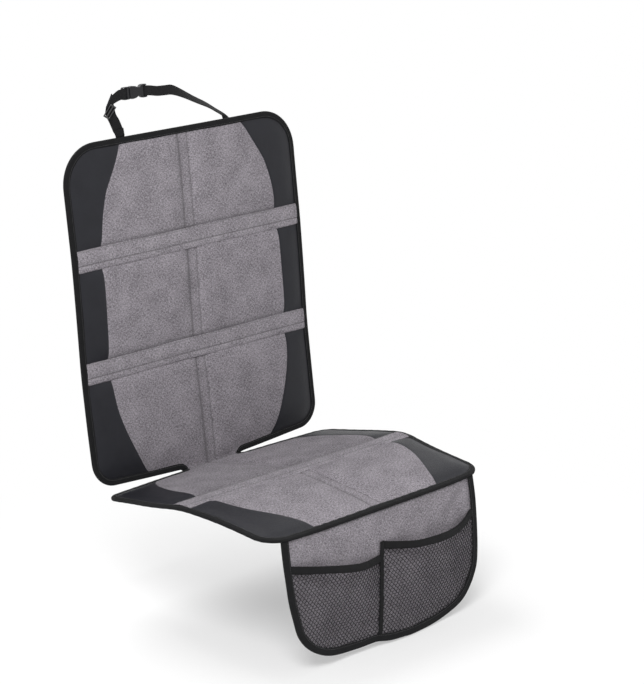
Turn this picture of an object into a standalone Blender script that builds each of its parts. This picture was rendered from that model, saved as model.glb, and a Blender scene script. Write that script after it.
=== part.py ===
"""Car seat protector: a padded back panel and seat panel folded into an L, a pocket flap hanging
from the seat's front edge, and a webbing loop with a side-release buckle over the top edge.

The soft panels are laid out flat, as they are cut and sewn, and then draped over the seat's profile.
Flat coordinates: u runs across, L runs up the back from the crease (negative forward along the seat),
and w is the height off the underside. Lengths are in millimetres here and metres in the model.
"""
import math

import bpy
import bmesh
import numpy as np
from mathutils import Matrix, Vector
from mathutils.geometry import delaunay_2d_cdt

MM = 0.001
GAP = 0.3                      # mm between neighbouring pieces

# Back panel
BACK_LENGTH = 556.0            # mm, crease to top edge
BACK_HALF_WIDTH = 241.0        # mm
BACK_TOP_RADIUS = 66.0         # mm
BACK_BOTTOM_RADIUS = 42.0      # mm
BACK_WING_RISE = 13.0          # mm, height of the wings' lower edge above the crease
RECLINE_LOW = 8.27             # degrees from vertical, below the lower fold
RECLINE_MID = 4.96             # degrees, between the folds
RECLINE_TOP = 6.83             # degrees, above the upper fold

# Seat panel
SEAT_LENGTH = 396.0            # mm, crease to front edge
SEAT_HALF_WIDTH = 250.0        # mm, at its widest
SEAT_REAR_SHARE = 0.96         # share of the widest, at the rear corners
SEAT_FRONT_SHARE = 0.936       # share of the widest, at the front corners
SEAT_REAR_RADIUS = 30.0        # mm
SEAT_FRONT_RADIUS = 38.0       # mm
SEAT_REAR_GAP = 18.0           # mm, rear edge of the seat's wings ahead of the crease
SEAT_RISE = 11.46              # degrees, rear half, rising forward
SEAT_FALL = 3.23               # degrees, front half, falling forward

# Neck between the two notches
NECK_HALF_WIDTH = 62.0         # mm
NOTCH_RADIUS = 6.5             # mm
NOTCH_MID = -1.3               # mm, the notch lies a little forward of the crease
CREASE_TANGENT = 5.2           # mm, where the fold's arc starts
FOLD_SPREAD = 25.0             # mm, half the length over which a fold line bends

# Layers
LINING = 1.0                   # mm
FACE = 1.0                     # mm
PUFF = 6.0                     # mm the face stands up over a pad
PUFF_RAMP = 10.0               # mm, how quickly it rises from a seam
FOAM_INSET = 4.0               # mm from a seam to the foam
CHANNEL_HALF = 9.5             # mm, the stitched centre channel
STRIP_HALF = 17.5              # mm, the cover strips across the folds
STRIP_FABRIC = 0.9             # mm
LOWER_FOLD = 198.0             # mm up the back
UPPER_FOLD = 377.0             # mm up the back
SEAT_FOLD = 208.0              # mm forward of the crease

# Binding tape round the edges
TAPE_WIDTH = 12.5              # mm on each face
TAPE = 1.0                     # mm thick

# Flap and pockets
FLAP_HALF_WIDTH = 207.0        # mm
FLAP_DROP = 208.0              # mm
FLAP_TILT = 10.0               # degrees, its foot forward
FLAP_FABRIC = 1.0              # mm
FLAP_SETBACK = 4.0             # mm behind the seat's front edge
NET = 0.8                      # mm
NET_BULGE = 15.0               # mm, how far the mouths stand open
NET_PITCH = 31.0               # mm between openings in the coarse net
BAND_WIDTH = 11.5              # mm
BAND_STEPS = 14                # lengths along each mouth
BAND_TURN = 30.0               # mm over which the band turns upright at its ends
BAND = 0.6                     # mm thick
DIVIDER_TOP = -18.0            # mm across, at the mouths
DIVIDER_FOOT = -40.0           # mm across, at the lower binding
DIVIDER_WIDTH = 8.0            # mm

# Headrest strap
WEBBING_WIDTH = 16.0           # mm
WEBBING = 1.4                  # mm thick
STRAP_LEFT = -119.3            # mm across
STRAP_RIGHT = 106.0            # mm across
STRAP_TUCK = 28.0              # mm sewn behind the top edge
STRAP_HEIGHT = 64.0            # mm above the top edge
BUCKLE_LEFT = -107.5           # mm across, left end of the male half
BUCKLE_THICK = 8.0             # mm
BAR = 2.8                      # mm, width of the bars that the webbing goes over
BAR_THICK = 3.0                # mm
MALE_LENGTH = 12.5             # mm, the part outside the socket
BUCKLE_SLIT = 1.2              # mm between the halves
FEMALE_LENGTH = 34.0           # mm

UNDER = LINING + GAP           # w of the face's underside where it is flat
EDGE_INSET = TAPE + GAP + 0.1  # how far the layers stop inside the tape
SEAM_CLEAR = TAPE_WIDTH + 0.5  # the face is flat this far from the edge
FIELD_DROP = TAPE + GAP + 0.05  # how far the lining's field stands out, just proud of the binding
FIELD_EDGE = TAPE_WIDTH + 1.5  # the field's step starts this far from the edge
FIELD_STEP = 2.0               # mm over which it steps out


def remove_everything():
    for item in list(bpy.data.objects):
        bpy.data.objects.remove(item, do_unlink=True)


def smoothstep(x):
    x = min(1.0, max(0.0, x))
    return x * x * (3.0 - 2.0 * x)


def ramp_value(x, start, end, first, second):
    """first before start, second after end, and a straight change between."""
    if x <= start:
        return first
    if x >= end:
        return second
    return first + (second - first) * (x - start) / (end - start)


def back_angle(s):
    low = ramp_value(s, LOWER_FOLD - FOLD_SPREAD, LOWER_FOLD + FOLD_SPREAD, RECLINE_LOW, RECLINE_MID)
    if s < (LOWER_FOLD + UPPER_FOLD) / 2.0:
        return low
    return ramp_value(s, UPPER_FOLD - FOLD_SPREAD, UPPER_FOLD + FOLD_SPREAD, RECLINE_MID, RECLINE_TOP)


def seat_angle(m):
    return ramp_value(m, SEAT_FOLD - FOLD_SPREAD, SEAT_FOLD + FOLD_SPREAD, SEAT_RISE, -SEAT_FALL)


def integrate(angle_at, length, upright):
    """(y, z) for each whole millimetre from the crease."""
    y, z = 0.0, 0.0
    points = [(0.0, 0.0)]
    for step in range(int(length) + 1):
        a = math.radians(angle_at(step + 0.5))
        if upright:
            y += math.sin(a)
            z += math.cos(a)
        else:
            y -= math.cos(a)
            z += math.sin(a)
        points.append((y, z))
    return points


BACK_TABLE = integrate(back_angle, BACK_LENGTH + 4.0, True)
SEAT_TABLE = integrate(seat_angle, SEAT_LENGTH + 4.0, False)


def table_point(table, x):
    last = len(table) - 2
    index = min(int(x), last)
    part = x - index
    y0, z0 = table[index]
    y1, z1 = table[index + 1]
    return y0 + (y1 - y0) * part, z0 + (z1 - z0) * part


def straight_leg(L):
    """Position and upward normal on the legs, carried on past their ends in a straight line."""
    if L >= 0.0:
        y, z = table_point(BACK_TABLE, L)
        a = math.radians(back_angle(L))
        return y, z, -math.cos(a), math.sin(a)
    y, z = table_point(SEAT_TABLE, -L)
    a = math.radians(seat_angle(-L))
    return y, z, math.sin(a), math.cos(a)


def crease_arc(L):
    """Position and normal on the arc that joins the legs at the neck."""
    a_back = math.radians(RECLINE_LOW)
    a_seat = math.radians(SEAT_RISE)
    n_back = (-math.cos(a_back), math.sin(a_back))
    n_seat = (math.sin(a_seat), math.cos(a_seat))
    bend = math.acos(n_back[0] * n_seat[0] + n_back[1] * n_seat[1])
    radius = CREASE_TANGENT / math.tan(bend / 2.0)
    cy = CREASE_TANGENT * math.sin(a_back) + n_back[0] * radius
    cz = CREASE_TANGENT * math.cos(a_back) + n_back[1] * radius
    share = (L + CREASE_TANGENT) / (2.0 * CREASE_TANGENT)
    start = math.atan2(n_seat[1], n_seat[0])
    end = math.atan2(n_back[1], n_back[0])
    a = start + (end - start) * share
    ny, nz = math.cos(a), math.sin(a)
    return cy - ny * radius, cz - nz * radius, ny, nz


def profile(L):
    return crease_arc(L) if abs(L) < CREASE_TANGENT else straight_leg(L)


ORIGIN_AT = 0.5 * (SEAT_FOLD + FOLD_SPREAD + SEAT_LENGTH)
_y, _z, _ny, _nz = straight_leg(-ORIGIN_AT)
ORIGIN_Y, ORIGIN_Z = _y - _ny * FIELD_DROP, _z - _nz * FIELD_DROP


def drape(u, L, w):
    """A point of the flat layout, on the draped panels, in metres."""
    y, z, ny, nz = profile(L)
    return Vector((u, y + ny * w - ORIGIN_Y, z + nz * w - ORIGIN_Z)) * MM


def hang(u, t, w):
    """A point of the flat flap (t down from its top edge), in metres."""
    y, z, ny, nz = straight_leg(-(SEAT_LENGTH - FLAP_SETBACK))
    y += ny * -(TAPE + 2.0 * GAP)
    z += nz * -(TAPE + 2.0 * GAP)
    a = math.radians(FLAP_TILT)
    y += -math.sin(a) * t - math.cos(a) * w
    z += -math.cos(a) * t + math.sin(a) * w
    return Vector((u, y - ORIGIN_Y, z - ORIGIN_Z)) * MM


# Flat outlines

def arc(cx, cy, r, start, end, count):
    points = []
    for k in range(count + 1):
        a = math.radians(start + (end - start) * k / count)
        points.append((cx + r * math.cos(a), cy + r * math.sin(a)))
    return points


def spline(points, per):
    """Catmull-Rom through the points, with per steps in each stretch."""
    ends = [points[0]] + list(points) + [points[-1]]
    out = []
    for k in range(1, len(ends) - 2):
        p0, p1, p2, p3 = ends[k - 1], ends[k], ends[k + 1], ends[k + 2]
        for j in range(per):
            t = j / per
            out.append(tuple(
                0.5 * (2 * b + (c - a) * t + (2 * a - 5 * b + 4 * c - d) * t * t
                       + (3 * b - a - 3 * c + d) * t ** 3)
                for a, b, c, d in zip(p0, p1, p2, p3)))
    out.append(tuple(points[-1]))
    return out


BEND_ROWS = []
for _k in range(-4, 5):
    BEND_ROWS.append(CREASE_TANGENT * _k / 4.0)
for _centre in (LOWER_FOLD, UPPER_FOLD, -SEAT_FOLD):
    for _k in range(-2, 3):
        BEND_ROWS.append(_centre + FOLD_SPREAD * _k / 2.0)
BEND_ROWS.sort()


def with_rows(points, rows):
    """The polyline with a point added wherever it crosses one of the rows."""
    out = [points[0]]
    for a, b in zip(points, points[1:]):
        cuts = []
        for row in rows:
            if (a[1] - row) * (b[1] - row) < 0.0:
                cuts.append((row - a[1]) / (b[1] - a[1]))
        for t in sorted(cuts):
            p = (a[0] + (b[0] - a[0]) * t, a[1] + (b[1] - a[1]) * t)
            if math.dist(p, out[-1]) > 1.0 and math.dist(p, b) > 1.0:
                out.append(p)
        out.append(b)
    return out




def right_outline():
    """From the top edge's middle, down the right side to the front edge's middle."""
    points = [(0.0, BACK_LENGTH), (0.45 * BACK_HALF_WIDTH, BACK_LENGTH)]
    points += arc(BACK_HALF_WIDTH - BACK_TOP_RADIUS, BACK_LENGTH - BACK_TOP_RADIUS,
                  BACK_TOP_RADIUS, 90, 0, 6)
    points += arc(BACK_HALF_WIDTH - BACK_BOTTOM_RADIUS, BACK_WING_RISE + BACK_BOTTOM_RADIUS,
                  BACK_BOTTOM_RADIUS, 0, -90, 5)
    mid = 0.5 * (NECK_HALF_WIDTH + BACK_HALF_WIDTH - BACK_BOTTOM_RADIUS)
    points.append((mid, NOTCH_MID + NOTCH_RADIUS + 3.5))
    points += arc(NECK_HALF_WIDTH + NOTCH_RADIUS, NOTCH_MID, NOTCH_RADIUS, 90, 270, 6)
    points.append((mid, NOTCH_MID - NOTCH_RADIUS - 3.0))
    rear = SEAT_HALF_WIDTH * SEAT_REAR_SHARE
    front = SEAT_HALF_WIDTH * SEAT_FRONT_SHARE
    points += arc(rear - SEAT_REAR_RADIUS, -SEAT_REAR_GAP - SEAT_REAR_RADIUS,
                  SEAT_REAR_RADIUS, 90, 0, 4)
    side = [(rear, -SEAT_REAR_GAP - SEAT_REAR_RADIUS)]
    for share, width in ((0.245, 0.972), (0.354, 0.992), (0.485, 1.0), (0.631, 0.968),
                         (0.717, 0.952), (0.808, 0.942)):
        side.append((SEAT_HALF_WIDTH * width, -SEAT_LENGTH * share))
    side.append((front, -SEAT_LENGTH + SEAT_FRONT_RADIUS))
    points += side[1:]
    points += arc(front - SEAT_FRONT_RADIUS, -SEAT_LENGTH + SEAT_FRONT_RADIUS,
                  SEAT_FRONT_RADIUS, 0, -90, 5)[1:]
    points += [(0.45 * SEAT_HALF_WIDTH, -SEAT_LENGTH), (0.0, -SEAT_LENGTH)]
    return with_rows(points, BEND_ROWS)


def normals_of(points):
    """Unit normals to the right of the direction of travel, mitred at the corners."""
    out = []
    count = len(points)
    for k in range(count):
        a = points[max(k - 1, 0)]
        b = points[k]
        c = points[min(k + 1, count - 1)]
        d1 = (b[0] - a[0], b[1] - a[1])
        d2 = (c[0] - b[0], c[1] - b[1])
        n1, n2 = math.hypot(*d1), math.hypot(*d2)
        if n1 < 1e-9:
            d1, n1 = d2, n2
        if n2 < 1e-9:
            d2, n2 = d1, n1
        e1 = (d1[1] / n1, -d1[0] / n1)
        e2 = (d2[1] / n2, -d2[0] / n2)
        m = (e1[0] + e2[0], e1[1] + e2[1])
        size = math.hypot(*m)
        m = (m[0] / size, m[1] / size)
        stretch = 1.0 / max(0.5, m[0] * e1[0] + m[1] * e1[1])
        out.append((m[0] * stretch, m[1] * stretch))
    return out


def inset_right(points, distance):
    """The right half moved inward; its ends stay on the centre line."""
    moved = []
    for (x, y), (nx, ny) in zip(points, normals_of(points)):
        moved.append((x + nx * distance, y + ny * distance))
    moved[0] = (0.0, moved[0][1])
    moved[-1] = (0.0, moved[-1][1])
    return moved


def mirrored(half):
    """A closed loop from a right half that starts and ends on the centre line."""
    left = [(-x, y) for x, y in reversed(half[1:-1])]
    return list(half) + left


RIGHT = right_outline()
OUTLINE = np.array(mirrored(RIGHT))


def edge_distance(points):
    """Distance from each point to the outline, as an array."""
    p = np.atleast_2d(np.asarray(points, float))
    a = OUTLINE
    b = np.roll(OUTLINE, -1, axis=0)
    d = b - a
    size = (d * d).sum(1)
    size[size < 1e-12] = 1.0
    ap = p[:, None, :] - a[None, :, :]
    t = np.clip((ap * d[None]).sum(2) / size[None], 0.0, 1.0)
    away = ap - t[..., None] * d[None]
    return np.sqrt((away * away).sum(2)).min(1)


def rise(d):
    """0 at a seam, approaching 1 away from it."""
    return 1.0 - math.exp(-d / PUFF_RAMP) if d > 0.0 else 0.0


def swell(u, L):
    """How much of the full puff the face has here."""
    value = rise(float(edge_distance([(u, L)])[0]) - SEAM_CLEAR)
    if value <= 0.0:
        return 0.0
    across = abs(u) - CHANNEL_HALF
    value *= 0.16 + 0.84 * rise(across) if across > 0.0 else 0.16
    for centre in (LOWER_FOLD, UPPER_FOLD, -SEAT_FOLD):
        off = abs(L - centre) - STRIP_HALF
        value *= 0.22 + 0.78 * rise(off) if off > 0.0 else 0.22
    value *= rise(abs(L) - CREASE_TANGENT - 2.0)
    return value


def face_low(u, L):
    return UNDER + PUFF * swell(u, L)


# Filling a flat outline with triangles

def inside(point, loop):
    x, y = point
    hit = False
    count = len(loop)
    for k in range(count):
        x1, y1 = loop[k]
        x2, y2 = loop[(k + 1) % count]
        if (y1 > y) != (y2 > y) and x < (x2 - x1) * (y - y1) / (y2 - y1) + x1:
            hit = not hit
    return hit


def loop_distance(point, loop):
    best = 1e9
    px, py = point
    count = len(loop)
    for k in range(count):
        ax, ay = loop[k]
        bx, by = loop[(k + 1) % count]
        dx, dy = bx - ax, by - ay
        size = dx * dx + dy * dy
        t = 0.0 if size < 1e-12 else max(0.0, min(1.0, ((px - ax) * dx + (py - ay) * dy) / size))
        best = min(best, math.hypot(px - ax - t * dx, py - ay - t * dy))
    return best


def cleaned(loop):
    """The loop without repeated points."""
    out = []
    for p in loop:
        if not out or math.dist(p, out[-1]) > 0.05:
            out.append((float(p[0]), float(p[1])))
    while len(out) > 3 and math.dist(out[0], out[-1]) < 0.05:
        out.pop()
    return out


def clipped(loop, axis, limit, keep_above):
    """The loop cut by a straight line across u (axis 0) or L (axis 1)."""
    out = []
    sign = 1.0 if keep_above else -1.0
    count = len(loop)
    for k in range(count):
        a, b = loop[k], loop[(k + 1) % count]
        da, db = sign * (a[axis] - limit), sign * (b[axis] - limit)
        if da >= 0.0:
            out.append(a)
        if da * db < 0.0:
            t = da / (da - db)
            out.append((a[0] + (b[0] - a[0]) * t, a[1] + (b[1] - a[1]) * t))
    return cleaned(out)


def grid_points(loop, us, rows, clear):
    found = []
    for row in rows:
        for u in us:
            p = (u, row)
            if inside(p, loop) and loop_distance(p, loop) > clear:
                found.append(p)
    return found


def fill(loop, extras, holes, chains=()):
    """Points and triangles that fill the loop, with the holes left open and edges along the chains."""
    loop = cleaned(loop)
    points = [Vector(p) for p in loop]
    edges = []
    count = len(loop)
    for k in range(count):
        edges.append((k, (k + 1) % count))
    for hole in holes:
        base = len(points)
        points += [Vector(p) for p in hole]
        for k in range(len(hole)):
            edges.append((base + k, base + (k + 1) % len(hole)))
    for chain in chains:
        base = len(points)
        points += [Vector(p) for p in chain]
        edges += [(base + k, base + k + 1) for k in range(len(chain) - 1)]
    points += [Vector(p) for p in extras]
    out, _, faces = delaunay_2d_cdt(points, edges, [], 0, 1e-4)[:3]
    kept = []
    for face in faces:
        cx = sum(out[i].x for i in face) / len(face)
        cy = sum(out[i].y for i in face) / len(face)
        if not inside((cx, cy), loop):
            continue
        if any(inside((cx, cy), hole) for hole in holes):
            continue
        kept.append(list(face))
    used = sorted({i for face in kept for i in face})
    index = {old: new for new, old in enumerate(used)}
    return [(out[i].x, out[i].y) for i in used], [[index[i] for i in face] for face in kept]


MATERIALS = {
    "grey_melange_fabric": ((0.27, 0.255, 0.27), 0.95),
    "black_faux_leather": ((0.032, 0.032, 0.036), 0.45),
    "black_lining": ((0.022, 0.022, 0.024), 0.9),
    "anti_slip_backing": ((0.028, 0.028, 0.03), 0.8),
    "foam": ((0.6, 0.58, 0.5), 0.95),
    "black_tape": ((0.015, 0.015, 0.016), 0.85),
    "black_net": ((0.02, 0.02, 0.021), 0.8),
    "black_webbing": ((0.016, 0.016, 0.017), 0.8),
    "black_plastic": ((0.02, 0.02, 0.022), 0.35),
}


def material(name):
    found = bpy.data.materials.get(name)
    if found:
        return found
    colour, roughness = MATERIALS[name]
    found = bpy.data.materials.new(name)
    found.use_nodes = True
    shader = found.node_tree.nodes["Principled BSDF"]
    shader.inputs["Base Color"].default_value = (*colour, 1.0)
    shader.inputs["Roughness"].default_value = roughness
    return found


def finish_mesh(name, vertices, faces, slot):
    mesh = bpy.data.meshes.new(name)
    mesh.from_pydata([tuple(v) for v in vertices], [], faces)
    work = bmesh.new()
    work.from_mesh(mesh)
    bmesh.ops.recalc_face_normals(work, faces=work.faces[:])
    bmesh.ops.triangulate(work, faces=work.faces[:])
    if work.calc_volume(signed=True) < 0.0:
        bmesh.ops.reverse_faces(work, faces=work.faces[:])
    work.to_mesh(mesh)
    work.free()
    made = bpy.data.objects.new(name, mesh)
    bpy.context.scene.collection.objects.link(made)
    made.data.materials.append(material(slot))
    return made


def slab(name, loop, extras, low, high, place, slot, holes=(), chains=()):
    """A closed sheet between two heights over a flat outline."""
    points, faces = fill(loop, extras, holes, chains)
    count = len(points)
    vertices = [place(u, v, low(u, v)) for u, v in points]
    vertices += [place(u, v, high(u, v)) for u, v in points]
    all_faces = [[i + count for i in face] for face in faces]
    all_faces += [list(reversed(face)) for face in faces]
    used = {}
    for face in faces:
        for k in range(len(face)):
            used[(face[k], face[(k + 1) % len(face)])] = True
    for a, b in used:
        if (b, a) not in used:
            all_faces.append([a, b, b + count, a + count])
    return finish_mesh(name, vertices, all_faces, slot)


# The end of a folded tape, in four-sided faces between its outer and inner points
TAPE_CAP = [(0, 1, 10, 11), (1, 2, 9, 10), (2, 3, 8, 9), (3, 4, 7, 8), (4, 5, 6, 7)]


def sweep(name, rings, slot, same_diagonals=False):
    """A closed solid through rings of points, capped at both ends.

    With same_diagonals, a thin folded tape's outer and inner walls are split the same way and stay parallel.
    """
    size = len(rings[0])
    vertices = [p for ring in rings for p in ring]
    faces = []
    for k in range(len(rings) - 1):
        a, b = k * size, (k + 1) * size
        for j in range(size):
            after = (j + 1) % size
            if not same_diagonals:
                faces.append([a + j, a + after, b + after, b + j])
            elif j > 5:
                faces.append([a + j, a + after, b + j])
                faces.append([a + after, b + after, b + j])
            else:
                faces.append([a + j, b + after, b + j])
                faces.append([a + j, a + after, b + after])
    base = (len(rings) - 1) * size
    for cap in TAPE_CAP if size == 12 else [list(range(size))]:
        faces.append(list(cap))
        faces.append([base + j for j in reversed(cap)])
    return finish_mesh(name, vertices, faces, slot)


def tape_section(width, thickness, low, high):
    """A folded tape round an edge, as (distance in from the edge, height) pairs."""
    soft = 0.9
    mid = 0.5 * width
    return [
        (width, high + thickness), (soft, high + thickness), (0.0, high + thickness - soft),
        (0.0, low - thickness + soft), (soft, low - thickness), (width, low - thickness),
        (width, low), (mid, low), (thickness, low), (thickness, high), (mid, high), (width, high),
    ]


def bound_edge(name, path, section, place, slot, base=None):
    """Tape folded round a flat path whose material is on the right of the direction of travel."""
    rings = []
    for (x, y), (nx, ny) in zip(path, normals_of(path)):
        ring = []
        for d, w in section:
            u, v = x + nx * d, y + ny * d
            lift = base(u, v) if base else 0.0
            ring.append(place(u, v, w + lift))
        rings.append(ring)
    return sweep(name, rings, slot)


# Padded panels

def seam_curve(side):
    """Half-width of the grey field, from a little beyond one edge to a little beyond the other."""
    if side == "back":
        shares = ((1.02, 0.466), (0.98, 0.527), (0.957, 0.556), (0.919, 0.606), (0.878, 0.664),
                  (0.849, 0.697), (0.786, 0.739), (0.709, 0.763), (0.644, 0.772), (0.555, 0.776),
                  (0.41, 0.78), (0.32, 0.772), (0.237, 0.751), (0.144, 0.683), (0.058, 0.593),
                  (0.02, 0.523), (-0.01, 0.46))
        return spline([(BACK_HALF_WIDTH * w, BACK_LENGTH * h) for h, w in shares], 1)
    shares = ((0.005, 0.48), (0.03, 0.512), (0.152, 0.66), (0.278, 0.74), (0.404, 0.772),
              (0.606, 0.772), (0.694, 0.744), (0.758, 0.704), (0.833, 0.64), (0.896, 0.584),
              (0.972, 0.528), (1.02, 0.488))
    return spline([(SEAT_HALF_WIDTH * w, -SEAT_LENGTH * h) for h, w in shares], 1)


def crossing(a, b, c, d):
    """Shares along ab and cd where they cross, or None."""
    r = (b[0] - a[0], b[1] - a[1])
    s = (d[0] - c[0], d[1] - c[1])
    cross = r[0] * s[1] - r[1] * s[0]
    if abs(cross) < 1e-12:
        return None
    q = (c[0] - a[0], c[1] - a[1])
    t = (q[0] * s[1] - q[1] * s[0]) / cross
    v = (q[0] * r[1] - q[1] * r[0]) / cross
    if 0.0 <= t < 1.0 and 0.0 <= v < 1.0:
        return t, v
    return None


def split_half(half, curve):
    """The right half's loop split by the seam: (inner part, outer part) as point lists.

    half runs clockwise from the centre line and the curve crosses it twice."""
    hits = []
    for i in range(len(half) - 1):
        for j in range(len(curve) - 1):
            found = crossing(half[i], half[i + 1], curve[j], curve[j + 1])
            if found:
                t = found[0]
                a, b = half[i], half[i + 1]
                p = (a[0] + (b[0] - a[0]) * t, a[1] + (b[1] - a[1]) * t)
                hits.append((i, j, p))
    first, second = hits[0], hits[-1]
    middle = curve[first[1] + 1:second[1] + 1]
    inner = half[:first[0] + 1] + [first[2]] + middle + [second[2]] + half[second[0] + 1:]
    outer = [first[2]] + half[first[0] + 1:second[0] + 1] + [second[2]] + list(reversed(middle))
    return cleaned(inner), cleaned(outer)


def shifted(curve, distance):
    return [(x - nx * distance, y - ny * distance)
            for (x, y), (nx, ny) in zip(curve, normals_of(curve))]


def panel_rows():
    """Rows for the face, close together beside the seams that run across."""
    rows = []
    for fold in (LOWER_FOLD, UPPER_FOLD, -SEAT_FOLD):
        for off in (0.0, STRIP_HALF + 7.0, STRIP_HALF + 20.0):
            rows += [fold - off, fold + off]
    marks = [-SEAT_LENGTH, -SEAT_FOLD, 0.0, LOWER_FOLD, UPPER_FOLD, BACK_LENGTH]
    for a, b in zip(marks, marks[1:]):
        for share in (0.38, 0.62) if b - a > 185.0 else (0.5,):
            rows.append(a + (b - a) * share)
    for off in (8.0, 20.0):
        rows += [CREASE_TANGENT + 2.0 + off, -CREASE_TANGENT - 2.0 - off]
    return sorted(rows)


FACE_US = []
for _u in (0.0, CHANNEL_HALF + 8.0, CHANNEL_HALF + 24.0, CHANNEL_HALF + 70.0,
           CHANNEL_HALF + 120.0, CHANNEL_HALF + 160.0, CHANNEL_HALF + 195.0):
    FACE_US += [_u, -_u] if _u else [_u]
FACE_US.sort()


def even_steps(line, step):
    """The closed line with points added so that none are further apart than the step."""
    out = []
    for k in range(len(line)):
        a, b = line[k], line[(k + 1) % len(line)]
        count = max(1, math.ceil(math.dist(a, b) / step))
        for j in range(count):
            out.append((a[0] + (b[0] - a[0]) * j / count, a[1] + (b[1] - a[1]) * j / count))
    return out


def ring(distance, step):
    """The panel outline moved inward, as a closed run of evenly spaced points."""
    line = cleaned(even_steps(mirrored(inset_right(RIGHT, distance)), step))
    good = [p for p in line if float(edge_distance([p])[0]) > distance - 0.3]
    return good + good[:1]


def spaced(points, least):
    """The points with any dropped that come too close to one already kept."""
    kept = []
    for p in points:
        if all(math.dist(p, q) > least for q in kept):
            kept.append(p)
    return kept


def foam_loops():
    """The right half's foam pads, one in each quilted cell, as (name, flat outline) pairs."""
    shape = mirrored(inset_right(RIGHT, SEAM_CLEAR + FOAM_INSET))
    clear = STRIP_HALF + FOAM_INSET
    crease = CREASE_TANGENT + 2.0 + FOAM_INSET
    bands = [
        ("back_foam_low", crease, LOWER_FOLD - clear),
        ("back_foam_mid", LOWER_FOLD + clear, UPPER_FOLD - clear),
        ("back_foam_top", UPPER_FOLD + clear, BACK_LENGTH),
        ("seat_foam_rear", -SEAT_FOLD + clear, -crease),
        ("seat_foam_front", -SEAT_LENGTH, -SEAT_FOLD - clear),
    ]
    found = []
    for name, start, end in bands:
        loop = clipped(clipped(shape, 1, start, True), 1, end, False)
        found.append((name, clipped(loop, 0, CHANNEL_HALF + FOAM_INSET, True)))
    return found


def flipped(points):
    return [(-x, y) for x, y in points]


def inside_many(points, loop):
    p = np.asarray(points, float)
    hit = np.zeros(len(p), bool)
    x, y = p[:, 0], p[:, 1]
    for k in range(len(loop)):
        (x1, y1), (x2, y2) = loop[k], loop[(k + 1) % len(loop)]
        if y1 == y2:
            continue
        spans = (y1 > y) != (y2 > y)
        hit ^= spans & (x < (x2 - x1) * (y - y1) / (y2 - y1) + x1)
    return hit


def padded_panels():
    """Every layer that follows the puffed face, cut from one shared layout so that they nest."""
    edge = inset_right(RIGHT, EDGE_INSET)
    whole = cleaned(mirrored(edge))
    pieces = []
    chains = [ring(SEAM_CLEAR, 34.0)]
    for kind, above in (("back", True), ("seat", False)):
        limit = NOTCH_MID + (0.5 * GAP if above else -0.5 * GAP)
        half = order_half(clipped(whole, 1, limit, above))
        curve = seam_curve(kind)
        grey = mirrored(split_half(half, shifted(curve, -0.5 * GAP))[0])
        side = split_half(half, shifted(curve, 0.5 * GAP))[1]
        pieces.append((kind + "_grey_face", grey, "grey_melange_fabric", "face"))
        pieces.append((kind + "_side_right", side, "black_faux_leather", "face"))
        pieces.append((kind + "_side_left", flipped(side), "black_faux_leather", "face"))
        for offset in (-0.5 * GAP, 0.5 * GAP):
            line = with_rows(shifted(curve, offset), BEND_ROWS)
            chains += [line, flipped(line)]
        chains.append([(-NECK_HALF_WIDTH - 9.0, limit), (NECK_HALF_WIDTH + 9.0, limit)])
    inner = cleaned(mirrored(inset_right(RIGHT, SEAM_CLEAR)))
    for name, fold in (("back_strip_lower", LOWER_FOLD), ("back_strip_upper", UPPER_FOLD),
                       ("seat_strip", -SEAT_FOLD)):
        loop = clipped(clipped(inner, 1, fold - STRIP_HALF, True), 1, fold + STRIP_HALF, False)
        pieces.append((name, loop, "grey_melange_fabric", "strip"))
        for v in (fold - STRIP_HALF, fold + STRIP_HALF):
            chains.append([(-SEAT_HALF_WIDTH, v), (SEAT_HALF_WIDTH, v)])
    for name, loop in foam_loops():
        for tag, turned in (("_right", loop), ("_left", flipped(loop))):
            pieces.append((name + tag, turned, "foam", "foam"))
            chains.append(turned + turned[:1])
    for side in (-CHANNEL_HALF, CHANNEL_HALF):
        chains.append([(side, -SEAT_LENGTH), (side, BACK_LENGTH)])
    for row in BEND_ROWS:
        reach = NECK_HALF_WIDTH + 9.0 if abs(row) < CREASE_TANGENT + 1.0 else SEAT_HALF_WIDTH
        chains.append([(-reach, row), (reach, row)])
    fixed = np.array([p for chain in chains for p in chain])
    loose = []
    for p in grid_points(whole, FACE_US, panel_rows(), 3.0):
        if np.hypot(*(fixed - p).T).min() > 4.0 and edge_distance([p])[0] > SEAM_CLEAR + 3.0:
            loose.append(p)
    for distance in (SEAM_CLEAR + 9.0, SEAM_CLEAR + 22.0):
        loose += [p for p in ring(distance, 34.0)[:-1] if np.hypot(*(fixed - p).T).min() > 5.0]
    points, faces = fill(whole, spaced(loose, 9.0), (), chains)
    heights = [face_low(u, v) for u, v in points]
    centres = [(sum(points[i][0] for i in f) / 3.0, sum(points[i][1] for i in f) / 3.0) for f in faces]
    levels = {
        "face": (lambda h: h, lambda h: h + FACE),
        "strip": (lambda h: h + FACE + GAP, lambda h: h + FACE + GAP + STRIP_FABRIC),
        "foam": (lambda h: UNDER - FIELD_DROP, lambda h: max(h - GAP, UNDER + 0.3)),
    }
    for name, loop, slot, level in pieces:
        chosen = [f for f, ok in zip(faces, inside_many(centres, loop)) if ok]
        low, high = levels[level]
        layer(name, points, chosen, [low(h) for h in heights], [high(h) for h in heights], drape, slot)


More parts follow.
